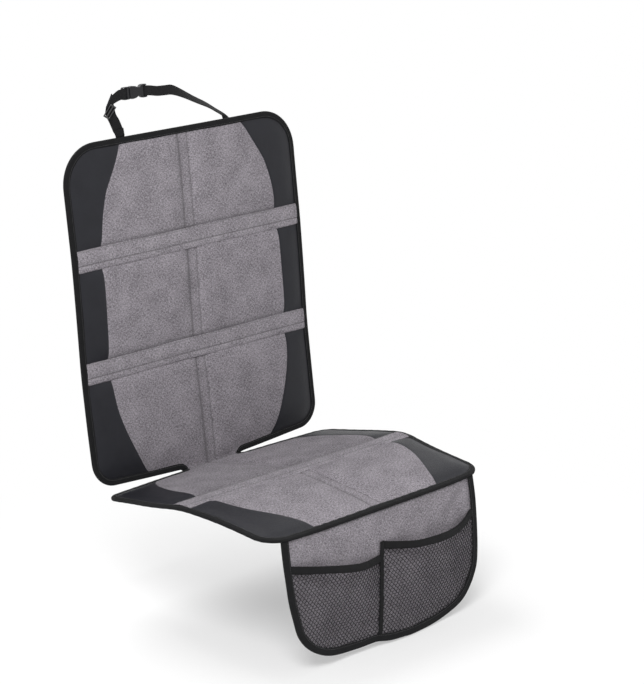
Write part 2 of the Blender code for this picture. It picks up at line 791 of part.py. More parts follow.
def layer(name, points, faces, low, high, place, slot):
    """A closed sheet over some triangles of a flat layout, between two heights at each point."""
    used = sorted({i for face in faces for i in face})
    index = {old: new for new, old in enumerate(used)}
    count = len(used)
    vertices = [place(*points[i], low[i]) for i in used] + [place(*points[i], high[i]) for i in used]
    tops = [[index[i] for i in face] for face in faces]
    solid = [[i + count for i in face] for face in tops]
    solid += [list(reversed(face)) for face in tops]
    sides = {(f[k], f[(k + 1) % len(f)]) for f in tops for k in range(len(f))}
    for a, b in sorted(sides):
        if (b, a) not in sides:
            solid.append([a, b, b + count, a + count])
    return finish_mesh(name, vertices, solid, slot)


def order_half(loop):
    """The right half of a mirrored loop, from its first centre-line point round to its last."""
    count = len(loop)
    right = [p[0] >= -1e-6 for p in loop]
    start = 0
    for k in range(count):
        if right[k] and not right[k - 1]:
            start = k
    out = []
    for k in range(count):
        index = (start + k) % count
        if not right[index]:
            break
        out.append(loop[index])
    first_y, last_y = out[0][1], out[-1][1]
    if abs(out[0][0]) > 1e-6:
        out.insert(0, (0.0, first_y))
    if abs(out[-1][0]) > 1e-6:
        out.append((0.0, last_y))
    return out


def linings():
    """The back's lining, and the seat's grippy underside with the neck as its tongue."""
    edge = cleaned(mirrored(inset_right(RIGHT, EDGE_INSET)))
    lift = CREASE_TANGENT + 12.0
    steps = [ring(FIELD_EDGE, 15.0), ring(FIELD_EDGE + FIELD_STEP, 15.0)]
    for name, loop, slot in (("back_lining", back_lining_loop(edge, lift), "black_lining"),
                             ("seat_underside", seat_lining_loop(edge, lift), "anti_slip_backing")):
        rows = [[(-SEAT_HALF_WIDTH, r), (SEAT_HALF_WIDTH, r)] for r in BEND_ROWS
                if abs(r) > CREASE_TANGENT + 1.0]
        rows += [[(-NECK_HALF_WIDTH - 9.0, r), (NECK_HALF_WIDTH + 9.0, r)] for r in BEND_ROWS
                 if abs(r) < CREASE_TANGENT + 1.0]
        slab(name, loop, [], lining_low, lambda u, v: lining_low(u, v) + LINING, drape, slot, (), rows + steps)


def lining_low(u, v):
    """w of the lining's rear: the field inside the binding stands just proud of the binding."""
    depth = (float(edge_distance([(u, v)])[0]) - FIELD_EDGE) / FIELD_STEP
    return -FIELD_DROP * min(max(depth, 0.0), 1.0)


def with_row_points(loop, rows):
    closed = list(loop) + [loop[0]]
    return with_rows(closed, rows)[:-1]


def back_lining_loop(edge, lift):
    """The back's outline with the neck cut off square at the seam above the crease."""
    upper = clipped(edge, 1, NOTCH_MID + GAP / 2.0, True)
    half = order_half(upper)
    neck = NECK_HALF_WIDTH - EDGE_INSET
    kept = [p for p in half if not (p[1] < lift and p[0] < neck + 0.6 * NOTCH_RADIUS)]
    kept = [p for p in kept if p[0] > 1e-6 or p[1] > lift]
    kept.append((neck + 0.6 * NOTCH_RADIUS, lift + GAP))
    kept.append((0.0, lift + GAP))
    return cleaned(with_row_points(mirrored(kept), BEND_ROWS))


def seat_lining_loop(edge, lift):
    """The seat's outline with the neck carried up to the seam above the crease."""
    lower = clipped(edge, 1, NOTCH_MID, False)
    half = order_half(lower)
    neck = NECK_HALF_WIDTH - EDGE_INSET
    kept = [p for p in half if p[0] > 1e-6 or p[1] < -SEAT_LENGTH / 2.0]
    kept = [p for p in kept if not (p[1] > NOTCH_MID - 0.01 and p[0] < neck - 1e-3)]
    kept = [(0.0, lift), (neck - 0.4, lift), (neck - 0.4, NOTCH_MID + 2.0)] + kept
    return cleaned(with_row_points(mirrored(kept), BEND_ROWS))


def bindings():
    section = tape_section(TAPE_WIDTH, TAPE, -GAP, UNDER + FACE + GAP)
    split = min(range(len(RIGHT)), key=lambda k: math.dist(RIGHT[k], (NECK_HALF_WIDTH, NOTCH_MID)))
    upper = RIGHT[:split] + [(NECK_HALF_WIDTH, NOTCH_MID + GAP / 2.0)]
    lower = [(NECK_HALF_WIDTH, NOTCH_MID - GAP / 2.0)] + RIGHT[split + 1:]
    left = [(-x, y) for x, y in reversed(upper[1:])]
    bound_edge("back_binding", left + upper, section, drape, "black_tape")
    left = [(-x, y) for x, y in reversed(lower[:-1])]
    bound_edge("seat_binding", lower + left, section, drape, "black_tape")


# Flap with its two pockets

FLAP_EDGE = (
    (-0.995, 0.0), (-1.0, 0.15), (-1.0, 0.30), (-1.0, 0.44), (-0.981, 0.577), (-0.947, 0.721),
    (-0.855, 0.837), (-0.715, 0.918), (-0.57, 0.952), (-0.386, 0.966), (-0.266, 0.966),
    (-0.193, 0.968), (-0.08, 0.993), (0.07, 1.004), (0.17, 1.009), (0.44, 0.995),
    (0.696, 0.928), (0.84, 0.827), (0.928, 0.707), (0.966, 0.577), (0.986, 0.44),
    (0.995, 0.30), (1.0, 0.15), (0.995, 0.0),
)


def flap_path():
    """Left top corner, down and round to the right top corner."""
    corners = [(x * FLAP_HALF_WIDTH, y * FLAP_DROP) for x, y in FLAP_EDGE]
    return spline(corners, 2)


FLAP_PATH = flap_path()
NET_LOW = FLAP_FABRIC + GAP + BAND + GAP     # w of the net's back where it lies flat


def offset_path(path, distance):
    """The flap's edge moved inward. Its inside is on the left of the direction of travel."""
    return [(x - nx * distance, y - ny * distance)
            for (x, y), (nx, ny) in zip(path, flap_normals(path))]


def flap_normals(path):
    # t runs down, so the sense is mirrored: the right-hand normal points out of the flap
    return [(-nx, -ny) for nx, ny in normals_of(path)]


def divider_u(t):
    top, foot = 0.21 * FLAP_DROP, 0.97 * FLAP_DROP
    return DIVIDER_TOP + (DIVIDER_FOOT - DIVIDER_TOP) * (t - top) / (foot - top)


FLAP_LINE = np.array(FLAP_PATH)


def flap_edge_distance(u, t):
    a = FLAP_LINE[:-1]
    d = FLAP_LINE[1:] - a
    size = (d * d).sum(1)
    ap = np.array([u, t]) - a
    k = np.clip((ap * d).sum(1) / size, 0.0, 1.0)
    away = ap - k[:, None] * d
    return float(np.sqrt((away * away).sum(1)).min())


# Shares of the flap's half width and drop along the left and the right pocket's mouth
MOUTHS = (
    np.array(spline([(-1.0, 0.165), (-0.83, 0.19), (-0.6, 0.245), (-0.36, 0.27), (-0.2, 0.25),
                     (-0.08, 0.225)], 8)),
    np.array(spline([(-0.14, 0.205), (0.04, 0.235), (0.25, 0.265), (0.43, 0.268), (0.6, 0.25),
                     (0.78, 0.19), (0.9, 0.13), (1.0, 0.08)], 8)),
)


def mouth_t(u):
    """Height of the pockets' mouths, down from the flap's top edge."""
    line = MOUTHS[0 if u < divider_u(0.22 * FLAP_DROP) else 1]
    return float(np.interp(u / FLAP_HALF_WIDTH, line[:, 0], line[:, 1])) * FLAP_DROP


def net_low(u, t):
    """w of the net's back: flat at its sewn edges and standing off towards the mouth."""
    edge = flap_edge_distance(u, t) - TAPE_WIDTH - 2.0
    seam = abs(u - divider_u(t)) - 0.5 * DIVIDER_WIDTH - 1.0
    if edge <= 0.0 or seam <= 0.0:
        return NET_LOW
    depth = (t - mouth_t(u)) / (FLAP_DROP - mouth_t(u))
    drop = 1.0 - smoothstep(depth * 1.1)
    sides = (1.0 - math.exp(-(edge / 38.0) ** 1.3)) * (1.0 - math.exp(-(seam / 38.0) ** 1.3))
    return NET_LOW + NET_BULGE * sides * (0.25 + 0.75 * drop)


def flap_fabric():
    path = offset_path(FLAP_PATH, EDGE_INSET)
    path[0] = (path[0][0], 0.35)
    path[-1] = (path[-1][0], 0.35)
    slab("flap_fabric", cleaned(path), [], lambda u, v: 0.0, lambda u, v: FLAP_FABRIC, hang,
         "grey_melange_fabric")


def flap_binding():
    section = tape_section(TAPE_WIDTH, TAPE, -GAP, NET_LOW + NET + GAP)
    path = [p for p in FLAP_PATH]
    path[0] = (path[0][0], 1.6)
    path[-1] = (path[-1][0], 1.6)
    rings = []
    for (x, y), (nx, ny) in zip(path, flap_normals(path)):
        rings.append([hang(x - nx * d, max(1.6, y - ny * d), w) for d, w in section])
    sweep("flap_binding", rings, "black_tape")


def divider_foot(edge, off):
    """Where the divider's line, moved sideways, meets the line of the flap's edge."""
    for a, b in zip(edge, edge[1:]):
        da = a[0] - divider_u(a[1]) - off
        db = b[0] - divider_u(b[1]) - off
        if da < 0.0 <= db and a[1] > 0.5 * FLAP_DROP:
            t = da / (da - db)
            return a[0] + (b[0] - a[0]) * t, a[1] + (b[1] - a[1]) * t
    return edge[len(edge) // 2]


def pocket_loop(side, path, normals):
    """The net's flat outline: under the flap's binding, beside the divider, and inside the mouth's band."""
    edge = offset_path(FLAP_PATH, EDGE_INSET)
    top_gap = TAPE + GAP
    mouth = [(x - nx * top_gap, y - ny * top_gap) for (x, y), (nx, ny) in zip(path, normals)]
    if side == "left":
        rim = [p for p in edge if p[0] < divider_u(p[1]) - GAP / 2.0 and p[1] > mouth_t(p[0]) + top_gap]
        foot = divider_foot(edge, -GAP / 2.0)
        top_u = divider_u(0.23 * FLAP_DROP) - GAP / 2.0
        return cleaned(rim + [foot, (top_u, mouth_t(top_u) + top_gap)] + mouth[::-1]
                       + [(rim[0][0], mouth_t(rim[0][0]) + top_gap)])
    rim = [p for p in edge if p[0] > divider_u(p[1]) + GAP / 2.0 and p[1] > mouth_t(p[0]) + top_gap]
    foot = divider_foot(edge, GAP / 2.0)
    top_u = divider_u(0.21 * FLAP_DROP) + GAP / 2.0
    return cleaned([foot] + rim + [(rim[-1][0], mouth_t(rim[-1][0]) + top_gap)] + mouth[::-1]
                   + [(top_u, mouth_t(top_u + 0.01) + top_gap)])


def net_holes(loop):
    """Diamond openings in offset rows, clear of the sewn edges and the mouth's band."""
    holes = []
    wide, tall = 0.36 * NET_PITCH, 0.30 * NET_PITCH
    rows = int(FLAP_DROP / (0.5 * NET_PITCH)) + 2
    columns = int(2.0 * FLAP_HALF_WIDTH / NET_PITCH) + 3
    for row in range(rows):
        t = 0.5 * NET_PITCH * row * 0.9
        for column in range(columns):
            u = -FLAP_HALF_WIDTH + NET_PITCH * (column + 0.5 * (row % 2))
            if not inside((u, t), loop):
                continue
            if flap_edge_distance(u, t) < TAPE_WIDTH + wide + 1.5:
                continue
            if abs(u - divider_u(t)) < 0.5 * DIVIDER_WIDTH + wide + 1.0:
                continue
            if t < mouth_t(u) + BAND_WIDTH + tall + 1.0:
                continue
            holes.append([(u - wide, t), (u, t - tall), (u + wide, t), (u, t + tall)])
    return holes


def band_path(side):
    """The mouth's line from the binding to the divider, or from the divider to the binding."""
    edge = offset_path(FLAP_PATH, TAPE_WIDTH + GAP)
    half = 0.5 * DIVIDER_WIDTH + GAP
    if side == "left":
        start = next(p for p in edge if p[1] > mouth_t(p[0]))[0] + 0.5
        end = divider_u(0.25 * FLAP_DROP) - half
    else:
        start = divider_u(0.21 * FLAP_DROP) + half
        end = [p for p in edge if p[1] > mouth_t(p[0]) and p[0] > 0.0][-1][0] - 1.5
    us = []
    for k in range(BAND_STEPS + 1):
        share = k / BAND_STEPS
        # Closer together near both ends, where the net meets the binding and the divider
        us.append(start + (end - start) * (0.5 * share + 0.25 - 0.25 * math.cos(math.pi * share)))
    return [(u, mouth_t(u)) for u in us]


def band_normals(path, side):
    """Away from the net at each point, which turns to follow the divider and the binding at the ends."""
    slope = (divider_u(0.3 * FLAP_DROP) - divider_u(0.2 * FLAP_DROP)) / (0.1 * FLAP_DROP)
    turned = []
    for (x, y), (nx, ny) in zip(path, flap_normals(path)):
        first, last = x - path[0][0], path[-1][0] - x
        s = smoothstep(min(first, last) / BAND_TURN)
        beside_divider = last < first if side == "left" else first < last
        lean = -slope if beside_divider else 0.0
        across, down = -nx * s + lean * (1.0 - s), -ny * s - (1.0 - s)
        size = math.hypot(across, down)
        turned.append((across / size, down / size))
    return turned


def pocket(side):
    path = band_path(side)
    normals = band_normals(path, side)
    loop = pocket_loop(side, path, normals)
    chains = []
    for depth in (0.5 * BAND_WIDTH, BAND_WIDTH + 0.5):
        chains.append([(x - nx * depth, y - ny * depth) for (x, y), (nx, ny) in zip(path, normals)])
    for (x, y), (nx, ny) in list(zip(path, normals))[1:-1]:
        chains.append([(x - nx * d, y - ny * d) for d in (0.0, 0.5 * BAND_WIDTH, BAND_WIDTH + 0.5)])
    flat = [p for p in offset_path(FLAP_PATH, TAPE_WIDTH + 2.0) if p[1] > 0.0]
    chains.append(flat)
    sign = -1.0 if side == "left" else 1.0
    off = sign * (0.5 * DIVIDER_WIDTH + 1.0)
    chains.append([(divider_u(t) + off, t) for t in np.linspace(0.15 * FLAP_DROP, FLAP_DROP, 9)])
    slab("pocket_net_" + side, loop, [], net_low, lambda u, v: net_low(u, v) + NET, hang,
         "black_net", net_holes(loop), chains)
    section = tape_section(BAND_WIDTH, BAND, -GAP, NET + GAP)
    rings = []
    for (x, y), (nx, ny) in zip(path, normals):
        spots = [(x - nx * d, y - ny * d, w) for d, w in section]
        rings.append([hang(u, v, w + net_low(u, v)) for u, v, w in spots])
    sweep("pocket_band_" + side, rings, "black_tape", same_diagonals=True)


def divider():
    low = NET_LOW + NET + GAP
    top = mouth_t(divider_u(0.21 * FLAP_DROP) + 1.0)
    foot = top
    while flap_edge_distance(divider_u(foot), foot) > TAPE_WIDTH + 0.25 * DIVIDER_WIDTH:
        foot += 0.25
    half = 0.5 * DIVIDER_WIDTH
    rings = []
    for k in range(7):
        t = top + (foot - top) * k / 6.0
        c = divider_u(t)
        rings.append([hang(c - half, t, low), hang(c + half, t, low),
                      hang(c + half, t, low + TAPE), hang(c - half, t, low + TAPE)])
    sweep("pocket_divider", rings, "black_tape")


# Headrest strap

STRAP_W = -GAP - TAPE - GAP - 0.5 * WEBBING      # w of the webbing's middle


def strap_place(u, rise_up, w):
    return drape(u, BACK_LENGTH + rise_up, w)


def ribbon(name, stations, slot):
    """A flat strap through stations: its two edges and the way its face looks."""
    rings = []
    for left, right, face in stations:
        size = math.sqrt(sum(c * c for c in face))
        h = [c * 0.5 * WEBBING / size for c in face]
        rings.append([
            strap_place(*[a + b for a, b in zip(left, h)]),
            strap_place(*[a + b for a, b in zip(right, h)]),
            strap_place(*[a - b for a, b in zip(right, h)]),
            strap_place(*[a - b for a, b in zip(left, h)]),
        ])
    return sweep(name, rings, slot)


def leg_station(u, r, lean, w):
    """Across the strap where it runs upward, leaning by so many degrees to the left."""
    a = math.radians(lean)
    h = 0.5 * WEBBING_WIDTH
    return ((u - h * math.cos(a), r - h * math.sin(a), w),
            (u + h * math.cos(a), r + h * math.sin(a), w), (0.0, 0.0, 1.0))


def left_strap():
    h = 0.5 * WEBBING_WIDTH
    k = STRAP_HEIGHT / 64.0
    fold = (STRAP_LEFT - 12.7, 59.5 * k)
    stations = [
        leg_station(STRAP_LEFT, -STRAP_TUCK, 0.0, STRAP_W),
        leg_station(STRAP_LEFT, 2.0, 6.0, STRAP_W),
        leg_station(STRAP_LEFT - 3.4, 16.0 * k, 12.0, STRAP_W),
        leg_station(STRAP_LEFT - 9.0, 36.0 * k, 12.0, STRAP_W),
    ]
    # The strap comes up along one direction and leaves the fold along the other
    d1 = (-0.2, 0.98)
    d2 = (0.999, 0.03)
    bis = (d1[0] + d2[0], d1[1] + d2[1])
    size = math.hypot(*bis)
    bis = (bis[0] / size, bis[1] / size)
    reach = h / math.sqrt(max(1e-6, 1.0 - (d1[0] * bis[0] + d1[1] * bis[1]) ** 2))
    a = (fold[0] - reach * bis[0], fold[1] - reach * bis[1])
    b = (fold[0] + reach * bis[0], fold[1] + reach * bis[1])
    out = (-bis[1], bis[0])
    step = WEBBING + GAP
    low, high = STRAP_W, STRAP_W + step
    stations.append(((a[0], a[1], low), (b[0], b[1], low), (0.0, 0.0, 1.0)))
    # Round the fold, whose rounded edge stands a little outside the fold line
    for angle in (45.0, 90.0, 135.0):
        t = math.radians(angle)
        r = 0.5 * step
        off = r * math.sin(t)
        w = 0.5 * (low + high) - r * math.cos(t)
        face = (-out[0] * math.sin(t), -out[1] * math.sin(t), math.cos(t))
        stations.append(((a[0] + out[0] * off, a[1] + out[1] * off, w),
                         (b[0] + out[0] * off, b[1] + out[1] * off, w), face))
    stations.append(((a[0], a[1], high), (b[0], b[1], high), (0.0, 0.0, -1.0)))
    # Along the top to the buckle: the leg's left edge is now the lower one
    top = STRAP_HEIGHT + 1.5 * k
    bar = BUCKLE_LEFT
    over = STRAP_W + 0.5 * BAR_THICK + GAP + 0.5 * WEBBING
    for u, r, w in ((bar - 9.0, top - 1.2, high), (bar - 2.0, top - 0.4, over),
                    (bar + BAR + 0.4, top, over), (bar + BAR + 2.6, top, STRAP_W + 0.2),
                    (bar + BAR + 4.4, top, STRAP_W - 1.2)):
        slope = -0.9 if u > bar + BAR else 0.0
        stations.append(((u, r - h, w), (u, r + h, w), (slope, 0.0, -1.0)))
    ribbon("strap_left", stations, "black_webbing")
    # The doubled, sewn end just above the top edge
    rings = []
    for r, lean_here in ((0.8, 5.0), (12.5 * k, 9.0)):
        u = STRAP_LEFT - 0.21 * r
        left, right, _ = leg_station(u, r, lean_here, 0.0)
        low_w, high_w = STRAP_W + 0.5 * WEBBING + GAP, STRAP_W + 1.5 * WEBBING + GAP
        rings.append([strap_place(left[0], left[1], high_w), strap_place(right[0], right[1], high_w),
                      strap_place(right[0], right[1], low_w), strap_place(left[0], left[1], low_w)])
    sweep("strap_left_end", rings, "black_webbing")


def right_strap():
    h = 0.5 * WEBBING_WIDTH
    k = STRAP_HEIGHT / 64.0
    start = BUCKLE_LEFT + MALE_LENGTH + BUCKLE_SLIT + FEMALE_LENGTH
    top = STRAP_HEIGHT + 1.5 * k
    over = STRAP_W + 0.5 * BAR_THICK + GAP + 0.5 * WEBBING
    stations = []
    for u, r, w, slope in ((start - BAR - 4.4, top, STRAP_W - 1.2, -0.9),
                           (start - BAR - 2.6, top, STRAP_W + 0.2, -0.9),
                           (start - BAR - 0.4, top, over, 0.0), (start + 2.0, top - 0.5, over, 0.0),
                           (start + 9.0, top - 1.5, STRAP_W + 1.0, 0.0)):
        stations.append(((u, r + h, w), (u, r - h, w), (-slope, 0.0, 1.0)))
    free = [
        ((-36.0, 71.0, -2.3), (-36.5, 55.2, -2.3)),
        ((-20.0, 71.2, -2.4), (-22.0, 55.4, -1.8)),
        ((-5.0, 70.6, -3.6), (-8.5, 55.4, -0.4)),
        ((15.8, 61.6, -7.5), (11.5, 48.8, 1.2)),
        ((40.4, 47.6, -9.0), (36.0, 37.6, 2.4)),
        ((65.4, 34.7, -9.5), (61.0, 26.6, 3.2)),
        ((90.0, 19.0, -8.6), (82.5, 13.6, 3.6)),
        ((104.5, 10.0, -4.8), (90.0, 8.6, 0.6)),
        ((STRAP_RIGHT + 6.5, 3.0, STRAP_W), (STRAP_RIGHT - 9.2, 4.0, STRAP_W)),
        ((STRAP_RIGHT + 8.0, -STRAP_TUCK, STRAP_W), (STRAP_RIGHT - 8.0, -STRAP_TUCK, STRAP_W)),
    ]
    rows = [tuple(p) + tuple(q) for p, q in free]
    rows = [(a, b * k if b > 0 else b, c, d, e * k if e > 0 else e, f) for a, b, c, d, e, f in rows]
    dense = spline(rows, 2)
    dense = dense[:-2] + [dense[-1]]
    for index, row in enumerate(dense):
        p, q = row[:3], row[3:]
        ahead = dense[min(index + 1, len(dense) - 1)]
        behind = dense[max(index - 1, 0)]
        along = [(ahead[j] + ahead[j + 3] - behind[j] - behind[j + 3]) for j in range(3)]
        across = [p[j] - q[j] for j in range(3)]
        face = (along[1] * across[2] - along[2] * across[1],
                along[2] * across[0] - along[0] * across[2],
                along[0] * across[1] - along[1] * across[0])
        if index >= len(dense) - 2:
            face = (0.0, 0.0, 1.0)
        stations.append((p, q, face))
    ribbon("strap_right", stations, "black_webbing")


def strap_frame(u, rise_up, w, turn=0.0):
    """The straight plane of the strap, as a matrix: x across, y up the strap and z off its front."""
    a = math.radians(back_angle(BACK_LENGTH + rise_up))
    plane = Matrix(((1.0, 0.0, 0.0), (0.0, math.sin(a), -math.cos(a)), (0.0, math.cos(a), math.sin(a))))
    found = (plane @ Matrix.Rotation(math.radians(turn), 3, "Z")).to_4x4()
    found.translation = strap_place(u, rise_up, w)
    return found


def box_mesh(name, x0, x1, y0, y1, z0, z1):
    """A box in millimetres about the plastic part's own centre."""
    corners = [Vector((x, y, z)) * MM for z in (z0, z1) for x, y in ((x0, y0), (x1, y0), (x1, y1), (x0, y1))]
    faces = [[0, 3, 2, 1], [4, 5, 6, 7], [0, 1, 5, 4], [1, 2, 6, 5], [2, 3, 7, 6], [3, 0, 4, 7]]
    return finish_mesh(name, corners, faces, "black_plastic")


def plate(name, loop, half_thick):
    """A polygon given a thickness to either side of its plane."""
    count = len(loop)
    vertices = [Vector((x, y, -half_thick)) * MM for x, y in loop]
    vertices += [Vector((x, y, half_thick)) * MM for x, y in loop]
    faces = [list(reversed(range(count))), [count + k for k in range(count)]]
    for k in range(count):
        j = (k + 1) % count
        faces.append([k, j, j + count, k + count])
    return finish_mesh(name, vertices, faces, "black_plastic")


def soften(made, width, segments=2):
    """Rounds the sharp edges."""
    work = bmesh.new()
    work.from_mesh(made.data)
    bmesh.ops.dissolve_limit(work, angle_limit=0.01, verts=work.verts[:], edges=work.edges[:])
    sharp = [e for e in work.edges if len(e.link_faces) == 2 and e.calc_face_angle(0.0) > 0.5]
    bmesh.ops.bevel(work, geom=sharp, offset=width * MM, segments=segments, profile=0.5,
                    affect="EDGES", clamp_overlap=True, material=-1)
    bmesh.ops.triangulate(work, faces=work.faces[:])
    bmesh.ops.recalc_face_normals(work, faces=work.faces[:])
    work.to_mesh(made.data)
    work.free()


def combined(target, others, operation="DIFFERENCE"):
    """Cuts the other shapes from the target, or joins them to it, and removes them."""
    for other in others:
        change = target.modifiers.new(operation.title(), "BOOLEAN")
        change.operation = operation
        change.solver = "EXACT"
        change.object = other
    shapes = bpy.context.evaluated_depsgraph_get()
    shapes.update()
    result = bpy.data.meshes.new_from_object(target.evaluated_get(shapes))
    target.modifiers.clear()
    target.data = result
    for other in others:
        bpy.data.objects.remove(other, do_unlink=True)


def buckle():
    """Both halves, each made about its own left end and then placed in the strap's plane."""
    middle = STRAP_HEIGHT * 1.0234
    opening = 0.5 * WEBBING_WIDTH + 0.5
    half_thick, half_bar = 0.5 * BUCKLE_THICK, 0.5 * BAR_THICK
    # Socket half: a waisted body with a cavity for the prongs and a window for the webbing
    upper = [(0.0, opening - 0.1), (2.4, opening + 1.5), (7.0, opening + 1.5), (12.0, opening + 0.7),
             (16.0, opening - 1.3), (18.5, opening - 1.6), (21.0, opening - 0.9), (23.5, opening + 1.3),
             (26.0, opening + 2.1), (30.0, opening + 2.0), (FEMALE_LENGTH, opening + 1.7)]
    loop = upper + [(a, -b) for a, b in reversed(upper)]
    socket = plate("buckle_socket", loop, half_thick)
    soften(socket, 0.9)
    end = FEMALE_LENGTH
    cuts = [
        box_mesh("socket_cavity", -2.0, 22.0, -5.6, 5.6, -2.0, 2.0),
        box_mesh("socket_window", end - BAR - 5.2, end - BAR, -opening, opening, -2.0 * half_thick,
                 2.0 * half_thick),
        # The end bar is thinner than the body, so that the webbing wraps it
        box_mesh("socket_front", end - BAR - 0.1, end + 2.0, -opening, opening, half_bar, 2.0 * half_thick),
    ]
    combined(socket, cuts)
    socket.matrix_world = strap_frame(BUCKLE_LEFT + MALE_LENGTH + BUCKLE_SLIT, middle, STRAP_W)
    # Plug half: a frame with a bar, a guide and two prongs
    frame = [(0.0, -opening + 0.6), (2.0, -opening - 1.4), (MALE_LENGTH, -opening - 1.4),
             (MALE_LENGTH, opening + 1.4), (2.0, opening + 1.4), (0.0, opening - 0.6)]
    plug = plate("buckle_plug", frame, half_thick - 0.8)
    soften(plug, 0.7)
    cuts = [
        box_mesh("plug_window", BAR, BAR + 5.2, -opening, opening, -2.0 * half_thick, 2.0 * half_thick),
        box_mesh("plug_front", -2.0, BAR + 0.1, -opening, opening, half_bar, 2.0 * half_thick),
    ]
    combined(plug, cuts)
    tip = MALE_LENGTH + BUCKLE_SLIT + 19.0
    joins = [
        box_mesh("plug_prong_upper", MALE_LENGTH - 2.0, tip, 3.0, 5.3, -1.6, 1.6),
        box_mesh("plug_prong_lower", MALE_LENGTH - 2.0, tip, -5.3, -3.0, -1.6, 1.6),
        box_mesh("plug_guide", MALE_LENGTH - 2.0, tip - 4.0, -0.9, 0.9, -1.2, 1.2),
    ]
    combined(plug, joins, "UNION")
    plug.matrix_world = strap_frame(BUCKLE_LEFT, middle, STRAP_W)


def slider():
    """The three-bar slider, in front of the webbing's fold."""
    thick = 2.4
    low = STRAP_W + 0.5 * WEBBING + GAP + WEBBING + GAP
    half = 0.5 * WEBBING_WIDTH + 1.0
    body = box_mesh("strap_slider", -half - 3.3, half + 3.3, -7.0, 7.0, -0.5 * thick, 0.5 * thick)
    soften(body, 0.8)
    combined(body, [box_mesh("upper_slot", -half, half, 1.3, 4.9, -thick, thick),
                    box_mesh("lower_slot", -half, half, -4.9, -1.3, -thick, thick)])
    body.matrix_world = strap_frame(STRAP_LEFT - 16.0, 0.742 * STRAP_HEIGHT, low + 0.5 * thick, 43.0)


def build():
    remove_everything()
    padded_panels()
    linings()
    bindings()
    flap_fabric()
    flap_binding()
    pocket("left")
    pocket("right")
    divider()
    left_strap()
    right_strap()
    buckle()
    slider()


build()
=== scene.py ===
"""The car seat protector as it looks: quilted panels, bindings, net pockets, webbing and buckle.

Soft pieces are laid out flat in millimetres (u across, L up the back or negative along the seat,
w off the underside) and draped over the same profile as the CAD model.
"""
import math

import bmesh
import bpy
import numpy as np
from mathutils import Matrix, Vector


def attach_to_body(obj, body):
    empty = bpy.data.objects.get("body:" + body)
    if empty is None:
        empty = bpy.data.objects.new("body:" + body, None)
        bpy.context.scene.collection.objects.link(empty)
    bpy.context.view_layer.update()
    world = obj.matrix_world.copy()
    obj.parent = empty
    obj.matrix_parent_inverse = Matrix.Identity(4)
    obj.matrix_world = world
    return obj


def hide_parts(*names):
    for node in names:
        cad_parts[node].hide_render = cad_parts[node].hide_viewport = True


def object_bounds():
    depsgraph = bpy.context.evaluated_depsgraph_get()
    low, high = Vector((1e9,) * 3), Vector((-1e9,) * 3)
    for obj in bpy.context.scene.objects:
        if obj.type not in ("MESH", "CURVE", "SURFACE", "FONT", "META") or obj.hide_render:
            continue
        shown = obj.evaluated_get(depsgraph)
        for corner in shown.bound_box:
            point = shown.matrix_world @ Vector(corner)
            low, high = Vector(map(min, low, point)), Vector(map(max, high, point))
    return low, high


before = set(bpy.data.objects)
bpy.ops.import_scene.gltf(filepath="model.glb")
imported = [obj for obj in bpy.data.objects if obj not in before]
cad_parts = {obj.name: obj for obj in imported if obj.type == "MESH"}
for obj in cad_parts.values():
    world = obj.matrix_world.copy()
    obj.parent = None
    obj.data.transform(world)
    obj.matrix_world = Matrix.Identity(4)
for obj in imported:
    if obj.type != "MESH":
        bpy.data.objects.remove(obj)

cad_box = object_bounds()
scene = bpy.context.scene
MM = 0.001

# Sizes shared with the CAD model, in millimetres and degrees
BACK_LENGTH, BACK_HALF, BACK_TOP_RADIUS, BACK_FOOT_RADIUS = 556.0, 241.0, 66.0, 42.0
BACK_WING_RISE = 13.0
SEAT_LENGTH, SEAT_HALF, SEAT_REAR_RADIUS, SEAT_FRONT_RADIUS = 396.0, 250.0, 30.0, 38.0
SEAT_REAR_GAP = 18.0
NECK_HALF, NOTCH_RADIUS, NOTCH_MID = 62.0, 6.5, -1.3
CREASE_TANGENT, FOLD_SPREAD = 5.2, 25.0
LOWER_FOLD, UPPER_FOLD, SEAT_FOLD = 198.0, 377.0, 208.0
FOLDS = (LOWER_FOLD, UPPER_FOLD, -SEAT_FOLD)
RECLINE_LOW, RECLINE_MID, RECLINE_TOP = 8.27, 4.96, 6.83
SEAT_RISE, SEAT_FALL = 11.46, 3.23
TAPE_WIDTH, CHANNEL_HALF, STRIP_HALF, STRIP_STITCH = 12.5, 9.5, 17.5, -6.5
BINDING, FLAP_BINDING, FIELD_DROP = 10.0, 11.5, 1.35
PUFF, UNDER = 6.6, 1.3
FLAP_HALF, FLAP_DROP, FLAP_TILT, FLAP_SETBACK, FLAP_SEAM = 207.0, 208.0, 10.0, 4.0, 1.6
STRAP_W, WEB_HALF = -2.3, 8.0

# Sizes that only the look needs, in millimetres
FRONT_SAG, SAG_HALF, SAG_START = 5.0, 215.0, 300.0
STRIP_SEAM, STITCH_INSET, REAR_STITCH = STRIP_HALF - 2.5, 1.9, -0.55
FACE_LOW = UNDER + 1.0
STRIP_LOW = FACE_LOW + PUFF * 0.2
CLOTH_THICK = 0.9


# Numbers, waves and fades

def unit(x):
    return np.clip(x, 0.0, 1.0)


def smoothstep(x):
    x = unit(x)
    return x * x * (3.0 - 2.0 * x)


def bell(x, width):
    return np.exp(-(x / width) ** 2)


def rise(d, reach):
    return 1.0 - np.exp(-np.maximum(d, 0.0) / reach)


def beside(d, reach):
    """Fades with the distance from a seam, and is 0 on the seam's other side."""
    return np.exp(-np.maximum(d, 0.0) / reach) * (d > 0.0)


def uneven(x, length, turn, long, shift=0.0):
    """A wave whose length changes a little on the way."""
    return np.sin(x / length + turn * np.sin(x / long) + shift)


def pairs(a, b):
    return np.stack([a, b], -1)


def alike(*values):
    return np.broadcast_arrays(*(np.asarray(value, float) for value in values))


# The profile that the panels lie over

